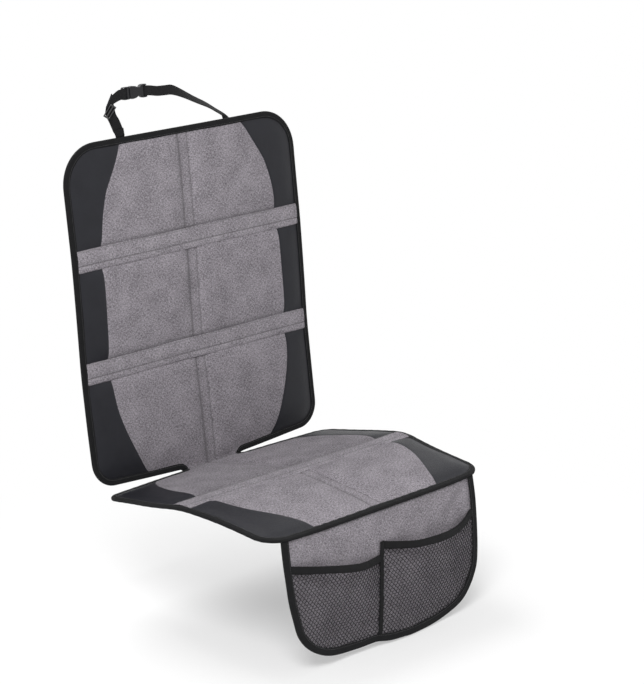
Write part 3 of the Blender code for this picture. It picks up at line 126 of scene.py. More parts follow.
def profile_table():
    """Position and normal for every half millimetre, from beyond the front edge to the strap's top."""
    step = 0.5
    rows = []

    def turned(s, fold, before, after):
        return math.radians(np.interp(s, [fold - FOLD_SPREAD, fold + FOLD_SPREAD], [before, after]))

    def back_angle(s):
        if s < 0.5 * (LOWER_FOLD + UPPER_FOLD):
            return turned(s, LOWER_FOLD, RECLINE_LOW, RECLINE_MID)
        return turned(s, UPPER_FOLD, RECLINE_MID, RECLINE_TOP)

    y = z = 0.0
    for k in range(int((SEAT_LENGTH + 60.0) / step)):
        a = turned(k * step, SEAT_FOLD, SEAT_RISE, -SEAT_FALL)
        rows.append((-k * step, y, z, math.sin(a), math.cos(a)))
        y -= step * math.cos(a)
        z += step * math.sin(a)
    rows.reverse()
    y = z = 0.0
    for k in range(int((BACK_LENGTH + 110.0) / step)):
        a = back_angle(k * step)
        if k:
            rows.append((k * step, y, z, -math.cos(a), math.sin(a)))
        y += step * math.sin(a)
        z += step * math.cos(a)
    table = np.array(rows)
    # The small arc at the crease
    a_back, a_seat = math.radians(RECLINE_LOW), math.radians(SEAT_RISE)
    n_back = np.array([-math.cos(a_back), math.sin(a_back)])
    n_seat = np.array([math.sin(a_seat), math.cos(a_seat)])
    radius = CREASE_TANGENT / math.tan(0.5 * math.acos(float(n_back @ n_seat)))
    centre = CREASE_TANGENT * np.array([math.sin(a_back), math.cos(a_back)]) + n_back * radius
    start, end = math.atan2(n_seat[1], n_seat[0]), math.atan2(n_back[1], n_back[0])
    near = np.abs(table[:, 0]) < CREASE_TANGENT
    angle = start + (end - start) * (table[near, 0] + CREASE_TANGENT) / (2.0 * CREASE_TANGENT)
    table[near, 3], table[near, 4] = np.cos(angle), np.sin(angle)
    table[near, 1] = centre[0] - table[near, 3] * radius
    table[near, 2] = centre[1] - table[near, 4] * radius
    return table


PROFILE = profile_table()


def profile_at(L):
    """Position and normal of the profile."""
    return [np.interp(L, PROFILE[:, 0], PROFILE[:, c]) for c in (1, 2, 3, 4)]


SEAT_MIDDLE = profile_at(-0.5 * (SEAT_FOLD + FOLD_SPREAD + SEAT_LENGTH))
ORIGIN = np.array(SEAT_MIDDLE[:2]) - FIELD_DROP * np.array(SEAT_MIDDLE[2:])


def drape(u, L, w):
    """Flat points on the draped panels, as an array of positions in metres."""
    u, L, w = alike(u, L, w)
    y, z, ny, nz = profile_at(L)
    size = np.hypot(ny, nz)
    w = w + slack(u, L)
    return np.stack([u, y + ny / size * w - ORIGIN[0], z + nz / size * w - ORIGIN[1]], -1) * MM


def slack(u, L):
    """The panels' own gentle waves, which everything sewn to them shares."""
    away = unit((np.abs(L) - 30.0) / 80.0)
    back = 1.3 * np.sin(u / 71.0 + 0.4) * np.sin(L / 63.0) + 0.9 * np.sin(u / 118.0 - L / 94.0 + 1.0)
    seat = 1.1 * np.sin(u / 64.0 - 0.8) * np.sin(L / 57.0 + 0.6) + 0.8 * np.sin(u / 101.0 + L / 83.0)
    front = unit((-L - SAG_START) / (SEAT_LENGTH - SAG_START)) ** 2
    return away * np.where(L > 0.0, back, seat) - front * front_sag(u)


def front_sag(u):
    """How far the seat's front edge sags between its corners."""
    return FRONT_SAG * unit(1.0 - (np.abs(u) / SAG_HALF) ** 4)


def hang(u, t, w):
    """Flat points on the hanging flap (t down from its top edge), in metres."""
    u, t, w = alike(u, t, w)
    y0, z0, ny, nz = profile_at(-(SEAT_LENGTH - FLAP_SETBACK))
    a = math.radians(FLAP_TILT)
    w = w + flap_waves(u, t)
    y = y0 - FLAP_SEAM * ny - math.sin(a) * t - math.cos(a) * w
    z = z0 - FLAP_SEAM * nz - math.cos(a) * t + math.sin(a) * w
    z = z - front_sag(u) * unit(1.0 - t / FLAP_DROP)
    return np.stack([u, y - ORIGIN[0], z - ORIGIN[1]], -1) * MM


def flap_waves(u, t):
    """Folds in the hanging flap, which start at its seam and grow downward."""
    share = unit(t / 90.0) ** 0.8
    broad = 2.2 * np.sin(u / 49.0 + 0.7) + 1.2 * np.sin(u / 25.0 - t / 40.0)
    pull = 1.6 * bell(u - 150.0 - 0.35 * t, 22.0) - 1.2 * bell(u + 165.0 - 0.3 * t, 26.0)
    # Short slanting folds from the seam's right end, where the flap is pulled
    across = (u - 188.0) * 0.62 + t * 0.78
    along = bell((u - 165.0) * 0.78 - (t - 22.0) * 0.62, 34.0)
    slant = along * (4.0 * bell(across + 10.0, 8.0) - 3.6 * bell(across - 8.0, 7.0))
    return share * broad + unit(t / 25.0) * (pull + slant)


# Flat outlines

def arc(cx, cy, r, start, end, count):
    a = np.radians(np.linspace(start, end, count + 1))
    return [(cx + r * math.cos(k), cy + r * math.sin(k)) for k in a]


def spline(points, per):
    """Catmull-Rom through the points, with per steps in each stretch."""
    p = np.array([points[0], *points, points[-1]], float)
    out = []
    for k in range(1, len(p) - 2):
        for t in np.arange(per) / per:
            out.append(0.5 * (2 * p[k] + (p[k + 1] - p[k - 1]) * t
                              + (2 * p[k - 1] - 5 * p[k] + 4 * p[k + 1] - p[k + 2]) * t * t
                              + (3 * p[k] - p[k - 1] - 3 * p[k + 1] + p[k + 2]) * t ** 3))
    return np.array([*out, p[-1]])


def even(points, step):
    """The line resampled at even steps."""
    p = np.asarray(points, float)
    run = np.concatenate([[0.0], np.cumsum(np.linalg.norm(np.diff(p, axis=0), axis=1))])
    keep = np.concatenate([[True], np.diff(run) > 1e-9])
    p, run = p[keep], run[keep]
    at = np.linspace(0.0, run[-1], max(2, int(round(run[-1] / step)) + 1))
    return np.stack([np.interp(at, run, p[:, c]) for c in range(p.shape[1])], -1)


# Down the seat's side: shares of its length and of its half-width
SEAT_SIDE = ((0.245, 0.972), (0.354, 0.992), (0.485, 1.0), (0.631, 0.968), (0.717, 0.952), (0.808, 0.942))


def corner(x, y, r, lower, count):
    """The rounded outer corner at x, y on the right side, travelled downward."""
    start = 0 if lower else 90
    return arc(x - r, y + r if lower else y - r, r, start, start - 90, count)


def right_outline():
    """From the top edge's middle, down the right side to the front edge's middle."""
    points = [(0.0, BACK_LENGTH), (108.0, BACK_LENGTH)]
    points += corner(BACK_HALF, BACK_LENGTH, BACK_TOP_RADIUS, False, 14)
    points += corner(BACK_HALF, BACK_WING_RISE, BACK_FOOT_RADIUS, True, 12)
    mid = 0.5 * (NECK_HALF + BACK_HALF - BACK_FOOT_RADIUS)
    points.append((mid, NOTCH_MID + NOTCH_RADIUS + 3.5))
    points += arc(NECK_HALF + NOTCH_RADIUS, NOTCH_MID, NOTCH_RADIUS, 90, 270, 12)
    points.append((mid, NOTCH_MID - NOTCH_RADIUS - 3.0))
    rear, front = 0.96 * SEAT_HALF, 0.936 * SEAT_HALF
    points += corner(rear, -SEAT_REAR_GAP, SEAT_REAR_RADIUS, False, 10)
    side = [(rear, -SEAT_REAR_GAP - SEAT_REAR_RADIUS)]
    side += [(SEAT_HALF * width, -SEAT_LENGTH * share) for share, width in SEAT_SIDE]
    side.append((front, -SEAT_LENGTH + SEAT_FRONT_RADIUS))
    points += [tuple(p) for p in spline(side, 4)[1:]]
    points += corner(front, -SEAT_LENGTH, SEAT_FRONT_RADIUS, True, 10)[1:]
    points += [(112.0, -SEAT_LENGTH), (0.0, -SEAT_LENGTH)]
    return np.array(points)


def mirrored(half):
    """The closed outline whose right half is given."""
    return np.concatenate([half, half[::-1][1:-1] * (-1.0, 1.0)])


RIGHT = right_outline()
OUTLINE = mirrored(RIGHT)


def nearest_on(line, points, closed):
    """Distance from each point to the line, and the nearest place on it."""
    a = line if closed else line[:-1]
    b = np.roll(line, -1, axis=0) if closed else line[1:]
    best = np.full(len(points), 1e9)
    place = np.zeros((len(points), 2))
    for p, q in zip(a, b):
        d = q - p
        size = float(d @ d)
        if size < 1e-12:
            continue
        t = np.clip(((points - p) @ d) / size, 0.0, 1.0)
        spot = p + t[:, None] * d
        far = np.hypot(*(points - spot).T)
        nearer = far < best
        best[nearer], place[nearer] = far[nearer], spot[nearer]
    return best, place


def inside(line, points):
    hit = np.zeros(len(points), bool)
    x, y = points.T
    for (x1, y1), (x2, y2) in zip(line, np.roll(line, -1, axis=0)):
        if y1 != y2:
            hit ^= ((y1 > y) != (y2 > y)) & (x < (x2 - x1) * (y - y1) / (y2 - y1) + x1)
    return hit


def line_normals(line):
    """Unit normals to the right of the direction of travel."""
    d = np.gradient(line, axis=0)
    size = np.hypot(*d.T)[:, None]
    d = d / np.where(size < 1e-9, 1.0, size)
    return np.stack([d[:, 1], -d[:, 0]], -1)


def moved_in(line, step, distance):
    """The line in even steps, moved to the right of its direction of travel, which is inward."""
    line = even(line, step)
    return line + line_normals(line) * distance


# The grey field's edge on the back and on the seat: shares of the length and of the half-width
BACK_SEAM = ((1.02, 0.466), (0.98, 0.527), (0.957, 0.556), (0.919, 0.606), (0.878, 0.664), (0.849, 0.697),
             (0.786, 0.739), (0.709, 0.763), (0.644, 0.772), (0.555, 0.776), (0.41, 0.78), (0.32, 0.772),
             (0.237, 0.751), (0.144, 0.683), (0.058, 0.593), (0.02, 0.523), (-0.01, 0.46))
SEAT_SEAM = ((-0.02, 0.45), (0.005, 0.48), (0.03, 0.512), (0.152, 0.66), (0.278, 0.74), (0.404, 0.772),
             (0.606, 0.772), (0.694, 0.744), (0.758, 0.704), (0.833, 0.64), (0.896, 0.584), (0.972, 0.528),
             (1.02, 0.488))


def grey_half_width(L):
    """Half-width of the grey field at each height."""
    back = spline([(BACK_LENGTH * h, BACK_HALF * w) for h, w in reversed(BACK_SEAM)], 6)
    seat = spline([(SEAT_LENGTH * h, SEAT_HALF * w) for h, w in SEAT_SEAM], 6)
    return np.where(L > NOTCH_MID, np.interp(L, *back.T), np.interp(-L, *seat.T))


# Puffed height of the face

def swell(u, L, edge):
    """How much of the full puff the face has, from 0 at the edge seam to 1 over a pad."""
    value = rise(edge - BINDING - 0.3, 13.0)
    across = np.abs(u) - CHANNEL_HALF
    middle = 0.13 + 0.09 * unit(1.0 - (u / CHANNEL_HALF) ** 2)
    value = value * np.where(across > 0.0, 0.13 + 0.87 * rise(across, 9.0), middle)
    for fold in FOLDS:
        off = np.abs(L - fold) - STRIP_HALF
        value = value * np.where(off > 0.0, 0.2 + 0.8 * rise(off, 9.0), 0.2)
    return value * rise(np.abs(L) - CREASE_TANGENT - 2.0, 12.0)


def creases(u, L, edge):
    """Small puckers beside the seams and soft wrinkles over the pads, in millimetres."""
    pucker = beside(np.abs(u) - CHANNEL_HALF, 11.0) * 0.28 * uneven(L, 4.6, 1.8, 31.0, np.sign(u))
    for fold in FOLDS:
        band = beside(np.abs(L - fold) - STRIP_HALF, 12.0)
        pucker = pucker + band * 0.34 * uneven(u, 5.3, 2.1, 37.0, np.sign(L - fold))
    half = CHANNEL_HALF + 0.1
    pucker = pucker + (np.abs(u) < half) * 0.5 * (1.0 - (u / half) ** 2) * uneven(L, 3.6, 2.2, 27.0)
    rim = beside(edge - BINDING, 10.0)
    pucker = pucker + rim * 0.3 * np.sin((u + L) / 5.9 + 1.7 * np.sin((u - L) / 41.0))
    # Long soft wrinkles that run towards the corners of each pad
    wrinkle = 0.35 * np.sin((u * 0.8 + L * 0.6) / 23.0 + 1.3 * np.sin(L / 60.0))
    wrinkle = wrinkle + 0.3 * np.sin((u * 0.5 - L * 0.9) / 29.0 + 1.1 * np.sin(u / 52.0))
    return pucker * rise(edge - BINDING - 1.0, 3.0) + wrinkle * rise(edge - BINDING - 1.0, 16.0)


def face_height(u, L):
    points = pairs(np.ravel(u), np.ravel(L))
    edge = nearest_on(OUTLINE, points, True)[0]
    edge = np.where(inside(OUTLINE, points), edge, 0.0).reshape(np.shape(u))
    lift = swell(u, L, edge)
    return FACE_LOW + PUFF * lift + creases(u, L, edge) * unit(lift * 3.0)


# Materials

def node_group(name, inputs, outputs):
    """A shader group. An input's value gives its kind: None for a vector, four numbers for a colour."""
    group = bpy.data.node_groups.new(name, "ShaderNodeTree")
    for label, value in inputs.items():
        kind = "Vector" if value is None else "Color" if isinstance(value, tuple) else "Float"
        socket = group.interface.new_socket(label, in_out="INPUT", socket_type="NodeSocket" + kind)
        if value is not None:
            socket.default_value = value
    for label in outputs:
        kind = "Color" if label == "Color" else "Float"
        group.interface.new_socket(label, in_out="OUTPUT", socket_type="NodeSocket" + kind)
    return group, group.nodes.new("NodeGroupInput").outputs, group.nodes.new("NodeGroupOutput")


def attach(tree, made, links):
    """Sets the node's inputs to values or links them to other sockets."""
    for key, value in links.items():
        if isinstance(value, bpy.types.NodeSocket):
            tree.links.new(value, made.inputs[key])
        else:
            made.inputs[key].default_value = value
    return made


def add(tree, kind, links=None, **settings):
    made = tree.nodes.new(kind)
    for key, value in settings.items():
        setattr(made, key, value)
    return attach(tree, made, links or {})


def math_node(tree, operation, a, b=None, clamp=False):
    links = {0: a} if b is None else {0: a, 1: b}
    return add(tree, "ShaderNodeMath", links, operation=operation, use_clamp=clamp).outputs[0]


def plus(tree, a, b, clamp=False):
    return math_node(tree, "ADD", a, b, clamp)


def times(tree, a, b):
    return math_node(tree, "MULTIPLY", a, b)


def mix_colour(tree, factor, a, b):
    """Goes from a to b, each a socket or three numbers."""
    a, b = ((*value, 1.0) if isinstance(value, tuple) else value for value in (a, b))
    return add(tree, "ShaderNodeMix", {0: factor, 6: a, 7: b}, data_type="RGBA").outputs[2]


def noise_at(tree, vector, scale, detail=2.0):
    links = {"Vector": vector, "Scale": scale, "Detail": detail, "Roughness": 0.5}
    return add(tree, "ShaderNodeTexNoise", links).outputs["Fac"]


def streaks(tree, vector, across, along, detail=2.0):
    """Noise with a scale of its own in each direction."""
    drawn = add(tree, "ShaderNodeVectorMath", {0: vector, 1: (across, along, 1.0)}, operation="MULTIPLY")
    return noise_at(tree, drawn.outputs[0], 1.0, detail)


def bands(tree, vector, scale, distortion, direction):
    links = {"Vector": vector, "Scale": scale, "Distortion": distortion}
    return add(tree, "ShaderNodeTexWave", links, bands_direction=direction).outputs["Fac"]


def melange_group():
    """Heathered yarn: slubs along both thread directions over a plain weave."""
    tree, start, end = node_group("melange weave", {"Vector": None, "Dark": (0.1, 0.1, 0.1, 1.0),
                                                    "Light": (0.5, 0.5, 0.5, 1.0), "Contrast": 1.0},
                                  ("Color", "Height"))
    v = start["Vector"]
    total = plus(tree, streaks(tree, v, 240.0, 900.0), streaks(tree, v, 900.0, 260.0))
    total = plus(tree, total, times(tree, streaks(tree, v, 1500.0, 1500.0, 1.0), 0.8))
    total = plus(tree, total, times(tree, noise_at(tree, v, 28.0, 3.0), 0.35))
    centred = math_node(tree, "SUBTRACT", total, 1.575)
    share = plus(tree, times(tree, centred, start["Contrast"]), 0.5, clamp=True)
    height = times(tree, bands(tree, v, 260.0, 0.4, "X"), bands(tree, v, 260.0, 0.4, "Y"))
    attach(tree, end, {"Color": mix_colour(tree, share, start["Dark"], start["Light"]),
                       "Height": plus(tree, height, times(tree, share, 0.8))})
    return tree


def grain_group():
    """Fine pebbled grain of coated leathercloth."""
    tree, start, end = node_group("leather grain", {"Vector": None, "Scale": 700.0}, ("Mask", "Height"))
    cells = add(tree, "ShaderNodeTexVoronoi", {"Vector": start["Vector"], "Scale": start["Scale"]},
                feature="DISTANCE_TO_EDGE").outputs["Distance"]
    pebble = math_node(tree, "MINIMUM", times(tree, cells, 4.0), 1.0)
    attach(tree, end, {"Mask": noise_at(tree, start["Vector"], 35.0, 4.0), "Height": pebble})
    return tree


def rib_group():
    """Woven tape: ribs across the tape, crossed by a finer diagonal."""
    tree, start, end = node_group("tape ribs", {"Vector": None, "Pitch": 300.0}, ("Mask", "Height"))
    ribs, twill = (bands(tree, start["Vector"], start["Pitch"], 0.2, way) for way in ("X", "DIAGONAL"))
    attach(tree, end, {"Mask": noise_at(tree, start["Vector"], 60.0, 3.0),
                       "Height": plus(tree, ribs, times(tree, twill, 0.6))})
    return tree


def seam_shade_group():
    """Mask of painted shade along a seam: full on the seam's line, fading with the distance from it, scaled
    by the darkness given.
    """
    tree, start, end = node_group("painted seam shade", {"Value": 0.0, "Place": 0.0, "Width": 0.002, "Depth": 0.5},
                                  ("Mask",))
    off = math_node(tree, "ABSOLUTE", math_node(tree, "SUBTRACT", start["Value"], start["Place"]))
    near = math_node(tree, "SUBTRACT", 1.0, math_node(tree, "DIVIDE", off, start["Width"], clamp=True))
    attach(tree, end, {"Mask": times(tree, times(tree, near, near), start["Depth"])})
    return tree


MELANGE, GRAIN, RIBS, SEAM_SHADE = melange_group(), grain_group(), rib_group(), seam_shade_group()


def new_material(name, roughness, sheen=0.0, specular=0.5):
    made = bpy.data.materials.new(name)
    made.use_nodes = True
    tree = made.node_tree
    shader = attach(tree, tree.nodes["Principled BSDF"],
                    {"Roughness": roughness, "Sheen Weight": sheen, "Sheen Roughness": 0.5,
                     "Specular IOR Level": specular})
    return made, tree, shader


def surface(tree, shader, colour, height, distance, strength, rough=None):
    """Gives the shader its colour, its relief and, if said, its roughness."""
    relief = add(tree, "ShaderNodeBump", {"Height": height, "Distance": distance, "Strength": strength})
    attach(tree, shader, {"Base Color": colour, "Normal": relief.outputs["Normal"]})
    if rough is not None:
        attach(tree, shader, {"Roughness": rough})


def from_group(tree, group, links):
    return add(tree, "ShaderNodeGroup", links, node_tree=group).outputs


def flat_coordinates(tree):
    return add(tree, "ShaderNodeUVMap", uv_map="flat").outputs["UV"]


def own_coordinates(tree):
    return add(tree, "ShaderNodeTexCoord").outputs["Object"]


def melange_material(name, dark, light, seams=()):
    """Heathered cloth with painted shade in the hollows of its seams, each seam given as (axis, place and
    width in mm, depth of the painted shade).
    """
    made, tree, shader = new_material(name, 0.92, sheen=0.08, specular=0.1)
    flat = flat_coordinates(tree)
    weave = from_group(tree, MELANGE, {"Vector": flat, "Dark": (*dark, 1.0), "Light": (*light, 1.0),
                                       "Contrast": 2.1})
    colour = weave["Color"]
    parts = add(tree, "ShaderNodeSeparateXYZ", {0: flat}).outputs
    for axis, place, width, depth in seams:
        shade = from_group(tree, SEAM_SHADE, {"Value": parts[axis], "Place": place * MM, "Width": width * MM,
                                          "Depth": depth})
        # Painted shade: the cloth's colour is mixed toward near-black along each seam's line
        colour = mix_colour(tree, shade["Mask"], colour, (0.05, 0.047, 0.05))
    surface(tree, shader, colour, weave["Height"], 0.0004, 0.6)
    return made


def leather_material(name):
    made, tree, shader = new_material(name, 0.46, specular=0.19)
    grain = from_group(tree, GRAIN, {"Vector": flat_coordinates(tree), "Scale": 620.0})
    colour = mix_colour(tree, grain["Mask"], (0.014, 0.014, 0.0175), (0.0225, 0.023, 0.028))
    rough = plus(tree, times(tree, grain["Mask"], 0.18), 0.36)
    surface(tree, shader, colour, grain["Height"], 0.00018, 0.6, rough)
    return made


def tape_material(name, low, high, roughness=0.85, pitch=300.0):
    made, tree, shader = new_material(name, roughness, sheen=0.02, specular=0.15)
    ribs = from_group(tree, RIBS, {"Vector": flat_coordinates(tree), "Pitch": pitch})
    surface(tree, shader, mix_colour(tree, ribs["Mask"], low, high), ribs["Height"], 0.0003, 0.7)
    return made


def lining_material(name, light, scale, scatter, relief):
    """A black back with raised dots, in even rows where nothing scatters them."""
    made, tree, shader = new_material(name, 0.85, specular=0.3)
    v = flat_coordinates(tree)
    cells = add(tree, "ShaderNodeTexVoronoi", {"Vector": v, "Scale": scale, "Randomness": scatter},
                feature="F1").outputs["Distance"]
    dots = math_node(tree, "SUBTRACT", 1.0, times(tree, cells, 2.6), clamp=True)
    height = plus(tree, dots, times(tree, noise_at(tree, v, 40.0, 4.0), 0.3))
    surface(tree, shader, mix_colour(tree, dots, (0.016, 0.016, 0.018), light), height, relief, 0.8)
    return made


def plastic_material(name, rough=0.38, specular=0.3):
    made, tree, shader = new_material(name, 0.5, specular=specular)
    where = own_coordinates(tree)
    cloudy = noise_at(tree, where, 90.0, 3.0)
    colour = mix_colour(tree, cloudy, (0.008, 0.008, 0.009), (0.015, 0.015, 0.017))
    surface(tree, shader, colour, noise_at(tree, where, 2200.0), 0.00008, 0.5,
            plus(tree, times(tree, cloudy, 0.2), rough))
    return made


def thread_material(name, colour):
    made, tree, shader = new_material(name, 0.6, sheen=0.2, specular=0.4)
    twist = noise_at(tree, own_coordinates(tree), 3000.0, 1.0)
    low, high = (tuple(share * c for c in colour) for share in (0.75, 1.2))
    surface(tree, shader, mix_colour(tree, twist, low, high), twist, 0.0001, 0.5)
    return made


GREY_YARN = ((0.114, 0.104, 0.117), (0.4, 0.372, 0.405))
# The strips' yarn is the grey yarn made a little lighter: painted light for the strips' lit ridges
LIT_STRIP_YARN = ((0.12, 0.11, 0.123), (0.425, 0.396, 0.43))
TAPE_YARN = ((0.006, 0.006, 0.0065), (0.013, 0.013, 0.014))
# Painted shade on the grey cloth: dark lines along the channel, a dark band above each back strip, and a wide
# painted shadow over the seat's rear, where the back panel shades it
GREY_CLOTH = melange_material("grey melange cloth", *GREY_YARN,
                              seams=[("X", -CHANNEL_HALF, 10.0, 0.35), ("X", -CHANNEL_HALF, 2.4, 0.5),
                                     ("X", CHANNEL_HALF, 2.2, 0.5), ("Y", LOWER_FOLD + STRIP_HALF, 8.5, 0.5),
                                     ("Y", UPPER_FOLD + STRIP_HALF, 8.5, 0.5),
                                     ("Y", STRIP_HALF - SEAT_FOLD, 50.0, 0.3)])
# Painted shade on the strips: dark lines at the stitched groove and at the seam, a painted shadow line along
# the upper edge and a faint one along the lower edge
STRIP_CLOTH = melange_material("strip melange cloth", *LIT_STRIP_YARN,
                               seams=[("Y", STRIP_STITCH, 1.9, 0.85), ("Y", STRIP_SEAM, 1.3, 0.3),
                                      ("Y", 18.0, 2.2, 0.95), ("Y", -17.8, 1.2, 0.12)])
FLAP_CLOTH = melange_material("flap melange cloth", *GREY_YARN)
LEATHER = leather_material("black leathercloth")
TAPE = tape_material("binding tape", *TAPE_YARN)
BAND = tape_material("elastic band", *TAPE_YARN, 0.8, 420.0)
WEBBING = tape_material("strap webbing", TAPE_YARN[0], (0.014, 0.014, 0.015), 0.75, 240.0)
LINING = lining_material("black lining", (0.04, 0.04, 0.043), 480.0, 0.35, 0.0002)
GRIP = lining_material("grippy dotted backing", (0.06, 0.06, 0.064), 230.0, 0.0, 0.0006)
PLASTIC = plastic_material("moulded black plastic")
POLISHED = plastic_material("polished black plastic", 0.12, 0.7)
NET = tape_material("net yarn", (0.008, 0.008, 0.009), (0.015, 0.015, 0.016), 0.75, 600.0)
GREY_THREAD = thread_material("grey thread", (0.22, 0.21, 0.22))
BLACK_THREAD = thread_material("black thread", (0.03, 0.03, 0.032))


# Mesh helpers

def mesh_of(work, name, turned_out=False):
    """The finished mesh, with its faces turned outwards if said."""
    if turned_out:
        bmesh.ops.recalc_face_normals(work, faces=work.faces[:])
    mesh = bpy.data.meshes.new(name)
    work.to_mesh(mesh)
    work.free()
    return mesh


def grid_mesh(columns, rows):
    """A flat grid with a UV map named flat, and each vertex's share across and along."""
    work = bmesh.new()
    bmesh.ops.create_grid(work, x_segments=columns, y_segments=rows, size=1.0)
    work.loops.layers.uv.new("flat")
    mesh = mesh_of(work, "grid")
    count = len(mesh.vertices)
    co = np.empty(count * 3)
    mesh.vertices.foreach_get("co", co)
    co = co.reshape(-1, 3)
    return mesh, (co[:, 0] + 1.0) / 2.0, (co[:, 1] + 1.0) / 2.0


def steps(share, stations):
    """Which station each vertex stands on."""
    return np.rint(share * (len(stations) - 1)).astype(int)


def set_shape(mesh, positions, flat):
    """Moves the vertices, and writes the flat millimetre layout to the UV map in metres."""
    mesh.vertices.foreach_set("co", np.ascontiguousarray(positions, float).ravel())
    corner = np.empty(len(mesh.loops), int)
    mesh.loops.foreach_get("vertex_index", corner)
    mesh.uv_layers["flat"].data.foreach_set("uv", (np.asarray(flat, float)[corner] * MM).ravel())
    mesh.update()


def piece(name, mesh, materials, smooth=True):
    mesh.name = name
    made = bpy.data.objects.new(name, mesh)
    scene.collection.objects.link(made)
    for entry in materials:
        mesh.materials.append(entry)
    if smooth:
        mesh.polygons.foreach_set("use_smooth", [True] * len(mesh.polygons))
    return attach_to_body(made, "root") or made


def modifier(made, kind, **settings):
    change = made.modifiers.new(kind.title(), kind)
    for key, value in settings.items():
        setattr(change, key, value)


def layer(name, mesh, materials, nodes, thickness, offset=0.0, rounder=0, bevel=None):
    """A sheet given its thickness in millimetres, in place of the CAD's nodes."""
    made = piece(name, mesh, materials)
    if rounder:
        modifier(made, "SUBSURF", levels=rounder, render_levels=rounder)
    modifier(made, "SOLIDIFY", thickness=thickness * MM, offset=offset)
    if bevel:
        modifier(made, "BEVEL", width=bevel[0] * MM, segments=bevel[1], limit_method="ANGLE")
    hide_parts(*nodes)
    return made


# Edge tape

def taped_edge(name, line, width, low, high, place, material, nodes, lift=None, inward=1.0):
    """Woven tape folded round an edge; the material lies to the right of the direction of travel."""
    step = 4.0
    over = ((width, 0.0), (width, 0.9), (0.66 * width, 1.05), (0.33 * width, 1.05), (1.1, 0.85), (0.3, 0.2))
    section = np.array([(d, high + h) for d, h in over] + [(0.0, 0.5 * (high + low))]
                       + [(d, low - h) for d, h in reversed(over)])
    line = even(line, step)
    normals = line_normals(line) * inward
    mesh, across, along = grid_mesh(len(section) - 1, len(line) - 1)
    i, j = steps(across, section), steps(along, line)
    d, w = section[i].T
    run = j * step
    d_here = d + 0.35 * uneven(run, 17.0, 1.3, 61.0) * (d > 0.6 * width)
    u, v = (line[j] + normals[j] * d_here[:, None]).T
    ripple = 0.12 * uneven(run, 3.1, 2.0, 23.0) * np.sign(w - 0.5 * (low + high)) * (d > 1.0)
    base = lift(u, v) if lift else 0.0
    lengthwise = np.concatenate([[0.0], np.cumsum(np.hypot(*np.diff(section, axis=0).T))])
    set_shape(mesh, place(u, v, w + ripple + base), pairs(run, lengthwise[i]))
    layer(name, mesh, [material], nodes, 0.6)


# Stitching: one small thread shape, repeated along the seams

def level(height):
    """The same height off the underside everywhere."""
    return lambda u, v: np.full(np.shape(u), height)


def over_face(u, v):
    return face_height(u, v) - 0.65


def stitches(name, runs, material):
    """Short rounded threads along runs of flat points, each run with its own way of placing."""
    length, pitch, radius = 2.6, 3.6, 0.32
    taper = Matrix.Diagonal((0.62, 0.6, 1.0, 1.0))
    work = bmesh.new()
    for line, place, lift in runs:
        line = even(line, pitch)
        mids = 0.5 * (line[1:] + line[:-1])
        ahead = line[1:] - line[:-1]
        ahead /= np.maximum(np.hypot(*ahead.T), 1e-9)[:, None]
        heights = lift(*mids.T)
        starts, ends = (place(*(mids + ahead * length * sign).T, heights) for sign in (-0.5, 0.5))
        tops, centres = place(*mids.T, heights + 1.0), place(*mids.T, heights)
        for a, b, top, centre in zip(starts, ends, tops, centres):
            along, up = Vector(b - a), Vector(top - centre).normalized()
            if along.length < 1e-6:
                continue
            x = along.normalized()
            turn = Matrix((x, up.cross(x).normalized(), up)).transposed().to_4x4()
            turn.translation = Vector(centre)
            size = Matrix.Diagonal((along.length, 2.0 * radius * MM, 1.5 * radius * MM, 1.0))
            for v in bmesh.ops.create_cube(work, size=1.0, matrix=turn @ size)["verts"]:
                local = turn.inverted() @ v.co
                if local.z > 0.0:
                    v.co = turn @ taper @ local
    piece(name, mesh_of(work, name, True), [material], smooth=False)


# Camera and setting

WHITE = (1.0, 1.0, 1.0, 1.0)
LIT = (0.0, 0.1, 0.25)


def add_camera():
    """The photograph's view: from the left front, a little above."""
    data = bpy.data.cameras.new("Camera")
    data.sensor_fit = "VERTICAL"
    data.sensor_height = 36.0
    data.lens = 121.05
    data.clip_end = 50.0
    made = bpy.data.objects.new("Camera", data)
    scene.collection.objects.link(made)
    right = Vector((0.71921641, -0.69478613, 0.0))
    up = Vector((0.20138847, 0.20846975, 0.95707003))
    back = Vector((-0.66495898, -0.68834047, 0.28985678))
    turn = Matrix((right, up, back)).transposed().to_4x4()
    turn.translation = Vector((-2.34085605, -2.68470619 - ORIGIN[0] * MM, 1.28488351 - ORIGIN[1] * MM))
    made.matrix_world = turn
    scene.camera = made


def add_light(name, spot, power, size):
    data = bpy.data.lights.new(name, "AREA")
    data.energy = power
    data.shape = "DISK"
    data.size = size
    made = bpy.data.objects.new(name, data)
    made.location = spot
    made.rotation_euler = (Vector(LIT) - Vector(spot)).to_track_quat("-Z", "Y").to_euler()
    scene.collection.objects.link(made)


def seen_directly(tree):
    """1 for what the camera sees, straight or by a mirror or through glass."""
    path = add(tree, "ShaderNodeLightPath").outputs
    total = plus(tree, path["Is Camera Ray"], path["Is Glossy Ray"])
    return plus(tree, total, path["Is Transmission Ray"], clamp=True)


def blended(tree, factor, a, b):
    return add(tree, "ShaderNodeMixShader", {0: factor, 1: a.outputs[0], 2: b.outputs[0]})


